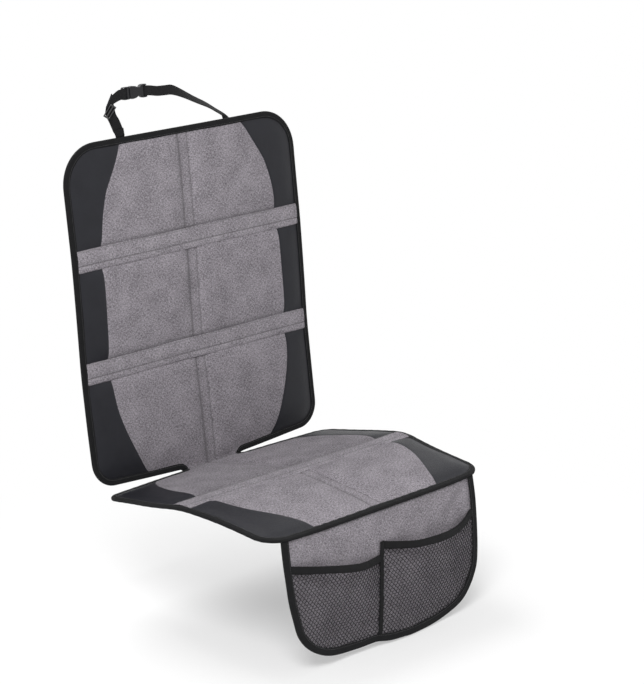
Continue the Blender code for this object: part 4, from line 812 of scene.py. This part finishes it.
def add_floor():
    """A pale floor under the object, which goes over into the white of the backdrop."""
    mesh = grid_mesh(1, 1)[0]
    floor = bpy.data.objects.new("floor", mesh)
    floor.scale = (8.0, 8.0, 1.0)
    floor.location = (0.0, 0.0, cad_box[0][2] - 0.0005)
    scene.collection.objects.link(floor)
    paint, tree, shader = new_material("floor paint", 0.9, specular=0.2)
    shader.inputs["Base Color"].default_value = (0.93, 0.93, 0.93, 1.0)
    away = add(tree, "ShaderNodeVectorMath", {0: own_coordinates(tree)}, operation="LENGTH")
    far = add(tree, "ShaderNodeMapRange", {"Value": away.outputs["Value"], "From Min": 0.03,
                                           "From Max": 0.1, "To Min": 0.4, "To Max": 1.0},
              interpolation_type="SMOOTHSTEP").outputs["Result"]
    white = add(tree, "ShaderNodeEmission", {"Color": WHITE, "Strength": 1.0})
    blend = blended(tree, times(tree, far, seen_directly(tree)), shader, white)
    # From below the floor is clear, so that the underside can be seen
    under = add(tree, "ShaderNodeNewGeometry").outputs["Backfacing"]
    either = blended(tree, under, blend, add(tree, "ShaderNodeBsdfTransparent"))
    attach(tree, tree.nodes["Material Output"], {"Surface": either.outputs[0]})
    mesh.materials.append(paint)


def add_setting():
    scene.view_settings.view_transform = "Standard"
    add_floor()
    world = bpy.data.worlds.new("studio")
    scene.world = world
    world.use_nodes = True
    tree = world.node_tree
    tree.nodes.clear()
    light, white = (add(tree, "ShaderNodeBackground", {"Color": WHITE, "Strength": strength})
                    for strength in (0.52, 1.0))
    mix = blended(tree, seen_directly(tree), light, white)
    add(tree, "ShaderNodeOutputWorld", {"Surface": mix.outputs[0]})
    add_light("key", (-1.7, -1.2, 2.5), 64.0, 1.5)
    add_light("top", (0.2, 1.9, 2.5), 48.0, 1.6)


# Panels

def spread(breaks, step):
    """Stations between the breaks, each stretch in equal steps of about the given size."""
    out = [breaks[0]]
    for a, b in zip(breaks, breaks[1:]):
        count = max(1, int(round(abs(b - a) / step)))
        out += [a + (b - a) * (k + 1) / count for k in range(count)]
    return np.array(out)


def rows_to(end, first, lines, offsets, step):
    """Rows from the crease to the end, with close ones beside the lines."""
    sense = math.copysign(1.0, end)
    near = sorted((line for line in lines if line * end > 0.0), key=abs)
    return spread([*first, *(line + off * sense for line in near for off in offsets), end], step)


def inset_outline(distance):
    moved = moved_in(RIGHT, 3.0, distance)
    moved[0, 0] = moved[-1, 0] = 0.0
    return mirrored(moved)


def held_inside(points, loop, upper=None):
    """Points outside the loop are moved to the nearest place on it, on the back or on the seat if said."""
    points = points.copy()
    out = ~inside(loop, points)
    part = loop if upper is None else loop[(loop[:, 1] > NOTCH_MID) == upper]
    if out.any():
        points[out] = nearest_on(part, points[out], True)[1]
    return points


CHANNEL_COLUMNS = np.array([0.0, 4.5, 8.0, CHANNEL_HALF, 11.0, 14.0])
CHANNEL_COLUMN = 3
GREY_COLUMNS, SIDE_COLUMNS = 22, 9
SEAM_COLUMN = len(CHANNEL_COLUMNS) + GREY_COLUMNS
HALF_COLUMNS = SEAM_COLUMN + 1 + SIDE_COLUMNS
STRIP_EDGES = (-STRIP_HALF - 2.0, -STRIP_HALF + 1.0, STRIP_HALF - 1.0, STRIP_HALF + 2.0)
QUILTING_LINES = [fold + off for fold in FOLDS for off in (STRIP_STITCH, STRIP_SEAM)]


def panel_points(rows):
    """The panel's grid in flat millimetres: columns along the channel, the seams and the edges."""
    mesh, across, along = grid_mesh(2 * HALF_COLUMNS, len(rows) - 1)
    L = rows[steps(along, rows)]
    column = np.rint(across * 2 * HALF_COLUMNS) - HALF_COLUMNS
    grey = grey_half_width(L)
    limit = np.where(L > 0.0, BACK_HALF, SEAT_HALF) - 1.0
    size = np.abs(column).astype(int)
    first = len(CHANNEL_COLUMNS) - 1
    start, beside_seam = CHANNEL_COLUMNS[-1], 1.6
    u = np.select(
        [size <= first, size < SEAM_COLUMN, size == SEAM_COLUMN],
        [CHANNEL_COLUMNS[np.minimum(size, first)],
         start + (grey - beside_seam - start) * (size - first) / GREY_COLUMNS, grey],
        grey + beside_seam + (limit - grey - beside_seam) * (size - SEAM_COLUMN - 1) / SIDE_COLUMNS)
    points = held_inside(pairs(u * np.sign(column), L), inset_outline(4.0), rows[-1] > 0.0)
    stitched = np.where(size == SEAM_COLUMN, 1.0, np.where(size == CHANNEL_COLUMN, 1.3, 0.0))
    return mesh, points[:, 0], points[:, 1], stitched


def quilted_panel(name, end, nodes):
    """The puffed cover over the pads: a grey field between black sides, in one layer."""
    rows = rows_to(end, (0.0, math.copysign(24.0, end)), FOLDS, STRIP_EDGES, 5.6)
    mesh, u, L, stitched = panel_points(rows)
    set_shape(mesh, drape(u, L, face_height(u, L) - stitched), pairs(u, L))
    made = layer(name, mesh, [GREY_CLOTH, LEATHER], nodes, CLOTH_THICK, offset=-1.0, rounder=1)
    column = np.arange(len(mesh.polygons)) % (2 * HALF_COLUMNS)
    grey = np.abs(column + 0.5 - HALF_COLUMNS) < SEAM_COLUMN
    mesh.polygons.foreach_set("material_index", np.where(grey, 0, 1).astype(np.int32))


def backing(name, end, material, nodes):
    """The flat layer behind the pads, drawn in a little along the quilting lines."""
    rows = rows_to(end, (-0.3,), QUILTING_LINES, (-4.5, 0.0, 4.5), 6.0)
    limit = (BACK_HALF if end > 0.0 else SEAT_HALF) - 1.0
    columns = spread([-limit, -14.0, -CHANNEL_HALF, -5.0, 5.0, CHANNEL_HALF, 14.0, limit], 7.0)
    mesh, across, along = grid_mesh(len(columns) - 1, len(rows) - 1)
    flat = pairs(columns[steps(across, columns)], rows[steps(along, rows)])
    points = held_inside(flat, inset_outline(3.0), end > 0.0)
    u, L = points.T
    dent = bell(np.abs(u) - CHANNEL_HALF, 3.0)
    for line in QUILTING_LINES:
        dent = np.maximum(dent, bell(L - line, 3.0))
    edge = nearest_on(OUTLINE, points, True)[0]
    field = smoothstep((edge - BINDING - 1.0) / 6.0)
    w = 0.3 - field * (1.1 - 0.9 * dent + 0.25 * np.sin(u / 19.0) * np.sin(L / 23.0))
    set_shape(mesh, drape(u, L, w), pairs(u, L))
    layer(name, mesh, [material], nodes, 0.8, rounder=1)


def cover_strip(name, fold, nodes):
    """A grey strip sewn over the fold, from binding to binding."""
    rows = fold + spread([-STRIP_HALF, STRIP_STITCH - 1.7, STRIP_STITCH, STRIP_STITCH + 1.7, STRIP_HALF], 3.5)
    limit = (BACK_HALF if fold > 0.0 else SEAT_HALF) - 8.0
    mesh, across, along = grid_mesh(110, len(rows) - 1)
    flat = pairs((across * 2.0 - 1.0) * limit, rows[steps(along, rows)])
    u, L = held_inside(flat, inset_outline(9.0)).T
    off = np.abs(L - fold) / STRIP_HALF
    tuck = unit((off - 0.9) / 0.1)
    bow = 0.9 * (1.0 - off ** 2) + 0.18 * uneven(u, 4.7, 2.0, 29.0) * off ** 2
    groove = 1.1 * bell(L - fold - STRIP_STITCH, 1.5)
    wander = 0.5 * np.sin(u / 33.0 + fold)
    w = STRIP_LOW + 1.3 + bow - 0.9 * tuck - groove
    set_shape(mesh, drape(u, L + wander * off, w), pairs(u, L - fold))
    made = layer(name, mesh, [STRIP_CLOTH], nodes, CLOTH_THICK, offset=-1.0, rounder=1)


def bindings():
    """Binds the back and the seat, and returns the edges of both."""
    split = int(np.argmin(np.hypot(RIGHT[:, 0] - NECK_HALF, RIGHT[:, 1] - NOTCH_MID)))
    upper = np.concatenate([RIGHT[:split], [(NECK_HALF, NOTCH_MID + 0.15)]])
    lower = np.concatenate([[(NECK_HALF, NOTCH_MID - 0.15)], RIGHT[split + 1:]])
    back = np.concatenate([(upper[1:] * (-1.0, 1.0))[::-1], upper])
    seat = np.concatenate([lower, (lower[:-1] * (-1.0, 1.0))[::-1]])
    for name, line in (("back", back), ("seat", seat)):
        taped_edge(name + "_edge_binding", line, BINDING, -0.3, 2.6, drape, TAPE, [name + "_binding"])
    return back, seat


# Flap with its pockets

FLAP_EDGE = (
    (-0.995, 0.0), (-1.0, 0.15), (-1.0, 0.30), (-1.0, 0.44), (-0.981, 0.577), (-0.947, 0.721),
    (-0.855, 0.837), (-0.715, 0.918), (-0.57, 0.952), (-0.386, 0.966), (-0.266, 0.966),
    (-0.193, 0.968), (-0.08, 0.993), (0.07, 1.004), (0.17, 1.009), (0.44, 0.995),
    (0.696, 0.928), (0.84, 0.827), (0.928, 0.707), (0.966, 0.577), (0.986, 0.44),
    (0.995, 0.30), (1.0, 0.15), (0.995, 0.0),
)
FLAP_LINE = spline([(x * FLAP_HALF, y * FLAP_DROP) for x, y in FLAP_EDGE], 4)
DIVIDER_TOP, DIVIDER_FOOT, DIVIDER_WIDTH = -5.0, -36.0, 8.0
BAND_WIDTH, NET_LOW, NET_BULGE, NET_RISE = 11.5, 2.2, 15.0, 38.0
LEFT_MOUTH = spline([(-1.0, 0.175), (-0.815, 0.215), (-0.53, 0.276), (-0.339, 0.315), (-0.238, 0.326),
                     (-0.133, 0.33), (-0.02, 0.327)], 8)
RIGHT_MOUTH = spline([(-0.1, 0.215), (-0.012, 0.237), (0.101, 0.263), (0.261, 0.296), (0.441, 0.311),
                      (0.546, 0.317), (0.638, 0.32), (0.731, 0.314), (0.818, 0.295), (0.914, 0.26),
                      (1.0, 0.215)], 8)


def divider_u(t):
    top, foot = 0.21 * FLAP_DROP, 0.97 * FLAP_DROP
    return DIVIDER_TOP + (DIVIDER_FOOT - DIVIDER_TOP) * (np.asarray(t, float) - top) / (foot - top)


def divider_at(share):
    """The divider's place at a share of the flap's drop."""
    return float(divider_u(share * FLAP_DROP))


def mouth_t(u):
    """How far down the pockets' mouths lie."""
    u = np.asarray(u, float)
    left, right = (np.interp(u / FLAP_HALF, *mouth.T) for mouth in (LEFT_MOUTH, RIGHT_MOUTH))
    return np.where(u < divider_at(0.22), left, right) * FLAP_DROP


def net_low(u, t):
    """Height of the net's back: flat at its sewn edges and standing off towards the mouth."""
    points = pairs(np.ravel(u), np.ravel(t)).astype(float)
    edge = nearest_on(FLAP_LINE, points, False)[0].reshape(np.shape(u)) - TAPE_WIDTH - 2.0
    seam = np.abs(u - divider_u(t)) - 0.5 * DIVIDER_WIDTH - 1.0
    depth = (t - mouth_t(u)) / (FLAP_DROP - mouth_t(u))
    drop = 1.0 - smoothstep(depth * 1.1)
    sides, middle = (1.0 - np.exp(-(np.maximum(d, 0.0) / NET_RISE) ** 1.3) for d in (edge, seam))
    return NET_LOW + NET_BULGE * (sides * middle) * (0.25 + 0.75 * drop)


def flap_inset(distance, top):
    """The flap's outline moved inward and closed along a level line at the top."""
    moved = moved_in(FLAP_LINE, 3.0, distance)
    moved[:, 1] = np.maximum(moved[:, 1], top)
    return moved


def flap_cloth():
    mesh, across, along = grid_mesh(100, 52)
    points = pairs((across * 2.0 - 1.0) * FLAP_HALF, 0.4 + along * FLAP_DROP * 1.01)
    u, t = held_inside(points, flap_inset(3.0, 0.35)).T
    set_shape(mesh, hang(u, t, 0.5), pairs(u, t))
    made = layer("flap_cloth", mesh, [FLAP_CLOTH], ["flap_fabric"], CLOTH_THICK, rounder=1)


def pocket_outline(side):
    """The net's flat outline, reaching under the tapes round it."""
    line = flap_inset(5.0, 0.0)
    u, t = line.T
    under_band = 1.2
    below = t > mouth_t(u) + under_band
    if side == "left":
        rim = line[(u < divider_u(t)) & below]
        us = np.linspace(divider_at(0.34), rim[0, 0], 30)
    else:
        rim = line[(u > divider_u(t)) & below]
        us = np.linspace(rim[-1, 0], divider_at(0.22) + 0.5, 40)
    return np.concatenate([rim, pairs(us, mouth_t(us) + under_band)])


def pocket_net(side):
    """Knitted net: six-sided cells in offset rows, thinned to strands."""
    loop = pocket_outline(side)
    width, pitch, bar = 7.0, 4.4, 1.5
    work = bmesh.new()
    low, high = loop.min(0) - 4.0, loop.max(0) + 4.0
    grown = loop.mean(0) + (loop - loop.mean(0)) * 1.03
    tip, flank = 0.5 * bar + pitch - bar, 0.5 * bar
    corners = ((0.0, -tip), (0.5 * width, -flank), (0.5 * width, flank),
               (0.0, tip), (-0.5 * width, flank), (-0.5 * width, -flank))
    for row in range(int((high[1] - low[1]) / pitch) + 1):
        t = low[1] + row * pitch
        us = np.arange(low[0] + (0.5 * width if row % 2 else 0.0), high[0], width)
        for u in us[inside(grown, pairs(us, np.full(len(us), t)))]:
            cell = bmesh.ops.create_circle(work, segments=6, radius=1.0, cap_ends=True)
            for v, (du, dt) in zip(cell["verts"], corners):
                v.co = (u + du, t + dt, 0.0)
    bmesh.ops.remove_doubles(work, verts=work.verts[:], dist=0.2)
    flat = held_inside(np.array([v.co[:2] for v in work.verts]), loop)
    u, t = flat.T
    sag = 0.5 * np.sin(u / 13.0 + t / 19.0) + 0.4 * np.sin(t / 9.0 - u / 31.0)
    uv = work.loops.layers.uv.new("flat")
    for v, spot in zip(work.verts, hang(u, t, net_low(u, t) + 0.4 + 0.4 * sag)):
        v.co = spot
    for face in work.faces:
        for corner in face.loops:
            corner[uv].uv = flat[corner.vert.index] * MM if corner.vert.index >= 0 else (0.0, 0.0)
    made = piece(side + "_pocket_net", mesh_of(work, "net", True), [NET], smooth=False)
    modifier(made, "WIREFRAME", thickness=0.0012, use_even_offset=False, use_replace=True)
    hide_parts("pocket_net_" + side)


def pocket_band(side):
    """Elastic tape folded over the net's upper edge."""
    edge = flap_inset(TAPE_WIDTH + 0.3, 0.0)
    below = edge[edge[:, 1] > mouth_t(edge[:, 0])]
    under_divider = 0.5 * DIVIDER_WIDTH + 0.3 - 1.5
    if side == "left":
        start, end = below[0, 0] - 1.0, divider_at(0.33) - under_divider
    else:
        start, end = divider_at(0.21) + under_divider, below[below[:, 0] > 0.0][-1, 0] + 1.0
    us = np.linspace(start, end, 60)
    taped_edge(side + "_pocket_band", pairs(us, mouth_t(us)), BAND_WIDTH, -0.3, 1.1, hang, BAND,
               ["pocket_band_" + side], lift=net_low, inward=-1.0)


def pocket_divider():
    """Tape sewn down between the pockets, with small ripples along its length."""
    top = float(mouth_t(divider_at(0.21) + 1.0)) - 1.0
    foot = 0.965 * FLAP_DROP - 6.0
    mesh, across, along = grid_mesh(6, 48)
    t = top + (foot - top) * along
    side = across * 2.0 - 1.0
    wobble = 0.5 * np.sin(t / 7.0) + 0.3 * np.sin(t / 3.1 + 1.0)
    u = divider_u(t) + side * (0.5 * DIVIDER_WIDTH + 0.25 * np.sin(t / 4.3)) + wobble * 0.5
    w = NET_LOW + 1.1 + 0.9 * (1.0 - side ** 2) ** 0.5 + 0.18 * np.sin(t / 2.6)
    set_shape(mesh, hang(u, t, w), pairs(t, side * 4.0))
    layer("divider_tape", mesh, [BAND], ["pocket_divider"], 0.7, offset=-1.0)


# Headrest strap

def ribbon(name, stations, nodes):
    """Webbing through stations, each given as its two edges in (u, rise, w)."""
    step = 2.0
    dense = even(spline(np.array([[*a, *b] for a, b in stations], float), 6), step)
    mesh, across, along = grid_mesh(10, len(dense) - 1)
    j = steps(along, dense)
    share = across[:, None]
    u, r, w = (dense[j, :3] * (1.0 - share) + dense[j, 3:] * share).T
    set_shape(mesh, drape(u, r + BACK_LENGTH, w), pairs(j * step, across * 2.0 * WEB_HALF))
    layer(name, mesh, [WEBBING], nodes, 1.4, bevel=(0.35, 2))


def leg(u, r, lean, w, twist=0.0):
    """Both edges of the webbing where it runs upward, leaning left and with its right edge turned forward."""
    a, t = math.radians(lean), math.radians(twist)
    x, y = WEB_HALF * math.cos(a) * math.cos(t), WEB_HALF * math.sin(a) * math.cos(t)
    z = WEB_HALF * math.sin(t)
    return ((u - x, r - y, w - z), (u + x, r + y, w + z))


def level_run(spots, half):
    """Both edges of the webbing where it runs level; half is negative where the first edge is the upper."""
    return [((u, r - half, w), (u, r + half, w)) for u, r, w in spots]


BAR, BAR_THICK, MALE_LENGTH, BUCKLE_SLIT, FEMALE_LENGTH = 2.8, 3.0, 12.5, 1.2, 34.0
BUCKLE_LEFT, STRAP_LEFT, STRAP_RIGHT, STRAP_TOP = -107.5, -119.3, 106.0, 65.5
OVER_BAR = STRAP_W + 0.5 * BAR_THICK + 1.0


def left_strap():
    """The left leg, its fold in the slider, its level run to the buckle, and its sewn end."""
    fold = (STRAP_LEFT - 14.9, 57.5)
    stations = [leg(STRAP_LEFT, -28.0, 0.0, STRAP_W), leg(STRAP_LEFT, 1.0, 5.0, STRAP_W, 3.0),
                leg(STRAP_LEFT - 3.2, 12.0, 16.0, STRAP_W, 28.0),
                leg(STRAP_LEFT - 8.6, 26.0, 20.0, STRAP_W, 42.0),
                leg(STRAP_LEFT - 14.6, 39.0, 10.0, STRAP_W, 24.0)]
    rising, level_on = Vector((-0.13, 0.99)), Vector((0.985, 0.17))
    between = (rising + level_on).normalized()
    reach = WEB_HALF / math.sqrt(max(1e-6, 1.0 - rising.dot(between) ** 2))
    high, round_by = STRAP_W + 1.7, 0.85
    for angle in (0.0, 45.0, 90.0, 135.0, 180.0):
        s = math.sin(math.radians(angle)) * round_by
        w = 0.5 * (STRAP_W + high) - round_by * math.cos(math.radians(angle))
        a, b = ((fold[0] + sign * reach * between.x - between.y * s,
                 fold[1] + sign * reach * between.y + between.x * s, w) for sign in (-1.0, 1.0))
        stations.append((a, b))
    bar = BUCKLE_LEFT + BAR
    stations += level_run(((BUCKLE_LEFT - 9.0, STRAP_TOP - 1.2, high),
                           (BUCKLE_LEFT - 2.0, STRAP_TOP - 0.4, OVER_BAR), (bar + 0.4, STRAP_TOP, OVER_BAR),
                           (bar + 2.6, STRAP_TOP, STRAP_W + 0.2), (bar + 4.4, STRAP_TOP, STRAP_W - 1.2)),
                          WEB_HALF)
    ribbon("strap_left_length", stations, ["strap_left"])
    ribbon("strap_sewn_end",
           [leg(STRAP_LEFT - 0.21 * r - 0.6, r, lean, STRAP_W + 1.9, twist)
            for r, lean, twist in ((0.8, 5.0, 3.0), (6.6, 10.0, 15.0), (12.5, 16.0, 29.0))],
           ["strap_left_end"])


def strap_slider():
    """The adjuster with its three bars, hanging askew on the webbing."""
    xs, ys = np.array((-11.4, -8.7, 8.7, 11.4)), np.array((-5.2, -3.5, -1.1, 1.1, 3.5, 5.2))
    mesh, across, along = grid_mesh(len(xs) - 1, len(ys) - 1)
    flat = pairs(xs[steps(across, xs)], ys[steps(along, ys)])
    set_shape(mesh, np.concatenate([flat, np.zeros((len(flat), 1))], -1) * MM, flat)
    work = bmesh.new()
    work.from_mesh(mesh)
    slots = [f for f in work.faces if abs(f.calc_center_median().x) < 0.009
             and 0.0012 < abs(f.calc_center_median().y) < 0.0034]
    bmesh.ops.delete(work, geom=slots, context="FACES")
    a = math.radians(RECLINE_TOP)
    plane = Matrix(((1.0, 0.0, 0.0), (0.0, math.sin(a), -math.cos(a)), (0.0, math.cos(a), math.sin(a))))
    turn = plane @ Matrix.Rotation(math.radians(-34.0), 3, "Y") @ Matrix.Rotation(math.radians(53.0), 3, "Z")
    turn = turn.to_4x4()
    turn.translation = Vector(drape(-137.2, BACK_LENGTH + 42.0, STRAP_W + 3.2))
    bmesh.ops.transform(work, matrix=turn, verts=work.verts[:])
    work.to_mesh(mesh)
    work.free()
    layer("strap_adjuster", mesh, [POLISHED], ["strap_slider"], 2.2, bevel=(0.7, 3))


def right_strap():
    """The level run out of the buckle, which twists on its way down to the right leg."""
    start = BUCKLE_LEFT + MALE_LENGTH + BUCKLE_SLIT + FEMALE_LENGTH
    bar = start - BAR
    stations = level_run(((bar - 4.4, STRAP_TOP, STRAP_W - 1.2), (bar - 2.6, STRAP_TOP, STRAP_W + 0.2),
                          (bar - 0.4, STRAP_TOP, OVER_BAR), (start + 2.0, STRAP_TOP - 0.5, OVER_BAR),
                          (start + 9.0, STRAP_TOP - 1.5, STRAP_W + 1.0)), -WEB_HALF)
    stations += [
        ((-36.0, 69.2, -2.3), (-36.5, 53.4, -2.3)), ((-20.0, 68.4, -2.4), (-22.0, 52.6, -1.8)),
        ((-5.0, 67.0, -3.6), (-8.5, 51.6, -0.4)), ((15.8, 57.6, -7.5), (11.5, 44.6, 1.2)),
        ((40.4, 43.6, -9.0), (36.0, 33.2, 2.4)), ((65.4, 30.3, -9.5), (61.0, 21.8, 3.2)),
        ((84.0, 18.0, -8.6), (77.5, 12.0, 3.6)), ((98.0, 8.0, -5.4), (87.0, 6.6, 1.6)),
        ((106.0, 0.5, -3.4), (91.5, 3.0, -1.6)), ((109.0, -6.0, STRAP_W), (93.4, -3.5, STRAP_W)),
        ((STRAP_RIGHT + 5.0, -28.0, STRAP_W), (STRAP_RIGHT - 11.0, -28.0, STRAP_W)),
    ]
    ribbon("strap_right_length", stations, ["strap_right"])


def sew(edges):
    """The stitching on the face, round the edges and on the rear."""
    grey_runs, black_runs, rear_runs = [], [], []
    for fold in FOLDS:
        reach = (BACK_HALF if fold > 0.0 else 0.985 * SEAT_HALF) - BINDING - 2.0
        for off, height in ((STRIP_STITCH, 1.3), (STRIP_SEAM, 1.62)):
            across = np.array([(-reach, fold + off), (reach, fold + off)])
            grey_runs.append((across, drape, level(STRIP_LOW + height)))
            rear_runs.append((across, drape, level(REAR_STITCH)))
    for side in (-CHANNEL_HALF, CHANNEL_HALF):
        for low, high in ((9.0, LOWER_FOLD - STRIP_HALF), (LOWER_FOLD + STRIP_HALF, UPPER_FOLD - STRIP_HALF),
                          (UPPER_FOLD + STRIP_HALF, BACK_LENGTH - BINDING),
                          (-SEAT_FOLD + STRIP_HALF, -9.0),
                          (-SEAT_LENGTH + BINDING, -SEAT_FOLD - STRIP_HALF)):
            channel = np.array([(side, low), (side, high)])
            grey_runs.append((channel, drape, over_face))
            rear_runs.append((channel, drape, level(REAR_STITCH)))
    for line in edges:
        edge_line = moved_in(line, 2.0, BINDING - STITCH_INSET)
        black_runs.append((edge_line, drape, level(4.0)))
        rear_runs.append((edge_line, drape, level(-1.75)))
    # The strap's tails are sewn down with a crossed box
    for middle in (STRAP_LEFT, STRAP_RIGHT - 3.0):
        corners = [(middle + u, BACK_LENGTH - below)
                   for u, below in ((-5.5, 25.5), (5.5, 25.5), (5.5, 13.5), (-5.5, 13.5))]
        for a, b in ((0, 1), (1, 2), (2, 3), (3, 0), (0, 2), (1, 3)):
            rear_runs.append((np.array([corners[a], corners[b]]), drape, level(STRAP_W - 0.95)))
    flap_line = moved_in(FLAP_LINE, 2.0, FLAP_BINDING - STITCH_INSET)
    black_runs.append((flap_line[flap_line[:, 1] > 2.0], hang, level(4.7)))
    stitches("grey_stitching", grey_runs, GREY_THREAD)
    stitches("edge_stitching", black_runs, BLACK_THREAD)
    stitches("rear_stitching", rear_runs, BLACK_THREAD)


def parts_of(panel, *names):
    return [panel + "_" + name for name in names]


add_camera()
add_setting()
quilted_panel("back_quilted_cover", BACK_LENGTH - 1.0,
              parts_of("back", "grey_face", "side_left", "side_right", "foam_low_left", "foam_low_right",
                       "foam_mid_left", "foam_mid_right", "foam_top_left", "foam_top_right"))
quilted_panel("seat_quilted_cover", -SEAT_LENGTH + 1.0,
              parts_of("seat", "grey_face", "side_left", "side_right", "foam_rear_left", "foam_rear_right",
                       "foam_front_left", "foam_front_right"))
backing("back_lining_cloth", BACK_LENGTH - 1.0, LINING, ["back_lining"])
backing("seat_grip_cloth", -SEAT_LENGTH + 1.0, GRIP, ["seat_underside"])
cover_strip("lower_back_strip", LOWER_FOLD, ["back_strip_lower"])
cover_strip("upper_back_strip", UPPER_FOLD, ["back_strip_upper"])
cover_strip("seat_cover_strip", -SEAT_FOLD, ["seat_strip"])
panel_edges = bindings()
flap_cloth()
taped_edge("flap_edge_binding", even(FLAP_LINE, 3.0), FLAP_BINDING, -0.3, 3.3, hang, TAPE, ["flap_binding"])
for pocket_side in ("left", "right"):
    pocket_net(pocket_side)
    pocket_band(pocket_side)
pocket_divider()
sew(panel_edges)
left_strap()
strap_slider()
right_strap()
for node in ("buckle_plug", "buckle_socket"):
    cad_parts[node].data.materials.clear()
    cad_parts[node].data.materials.append(PLASTIC)
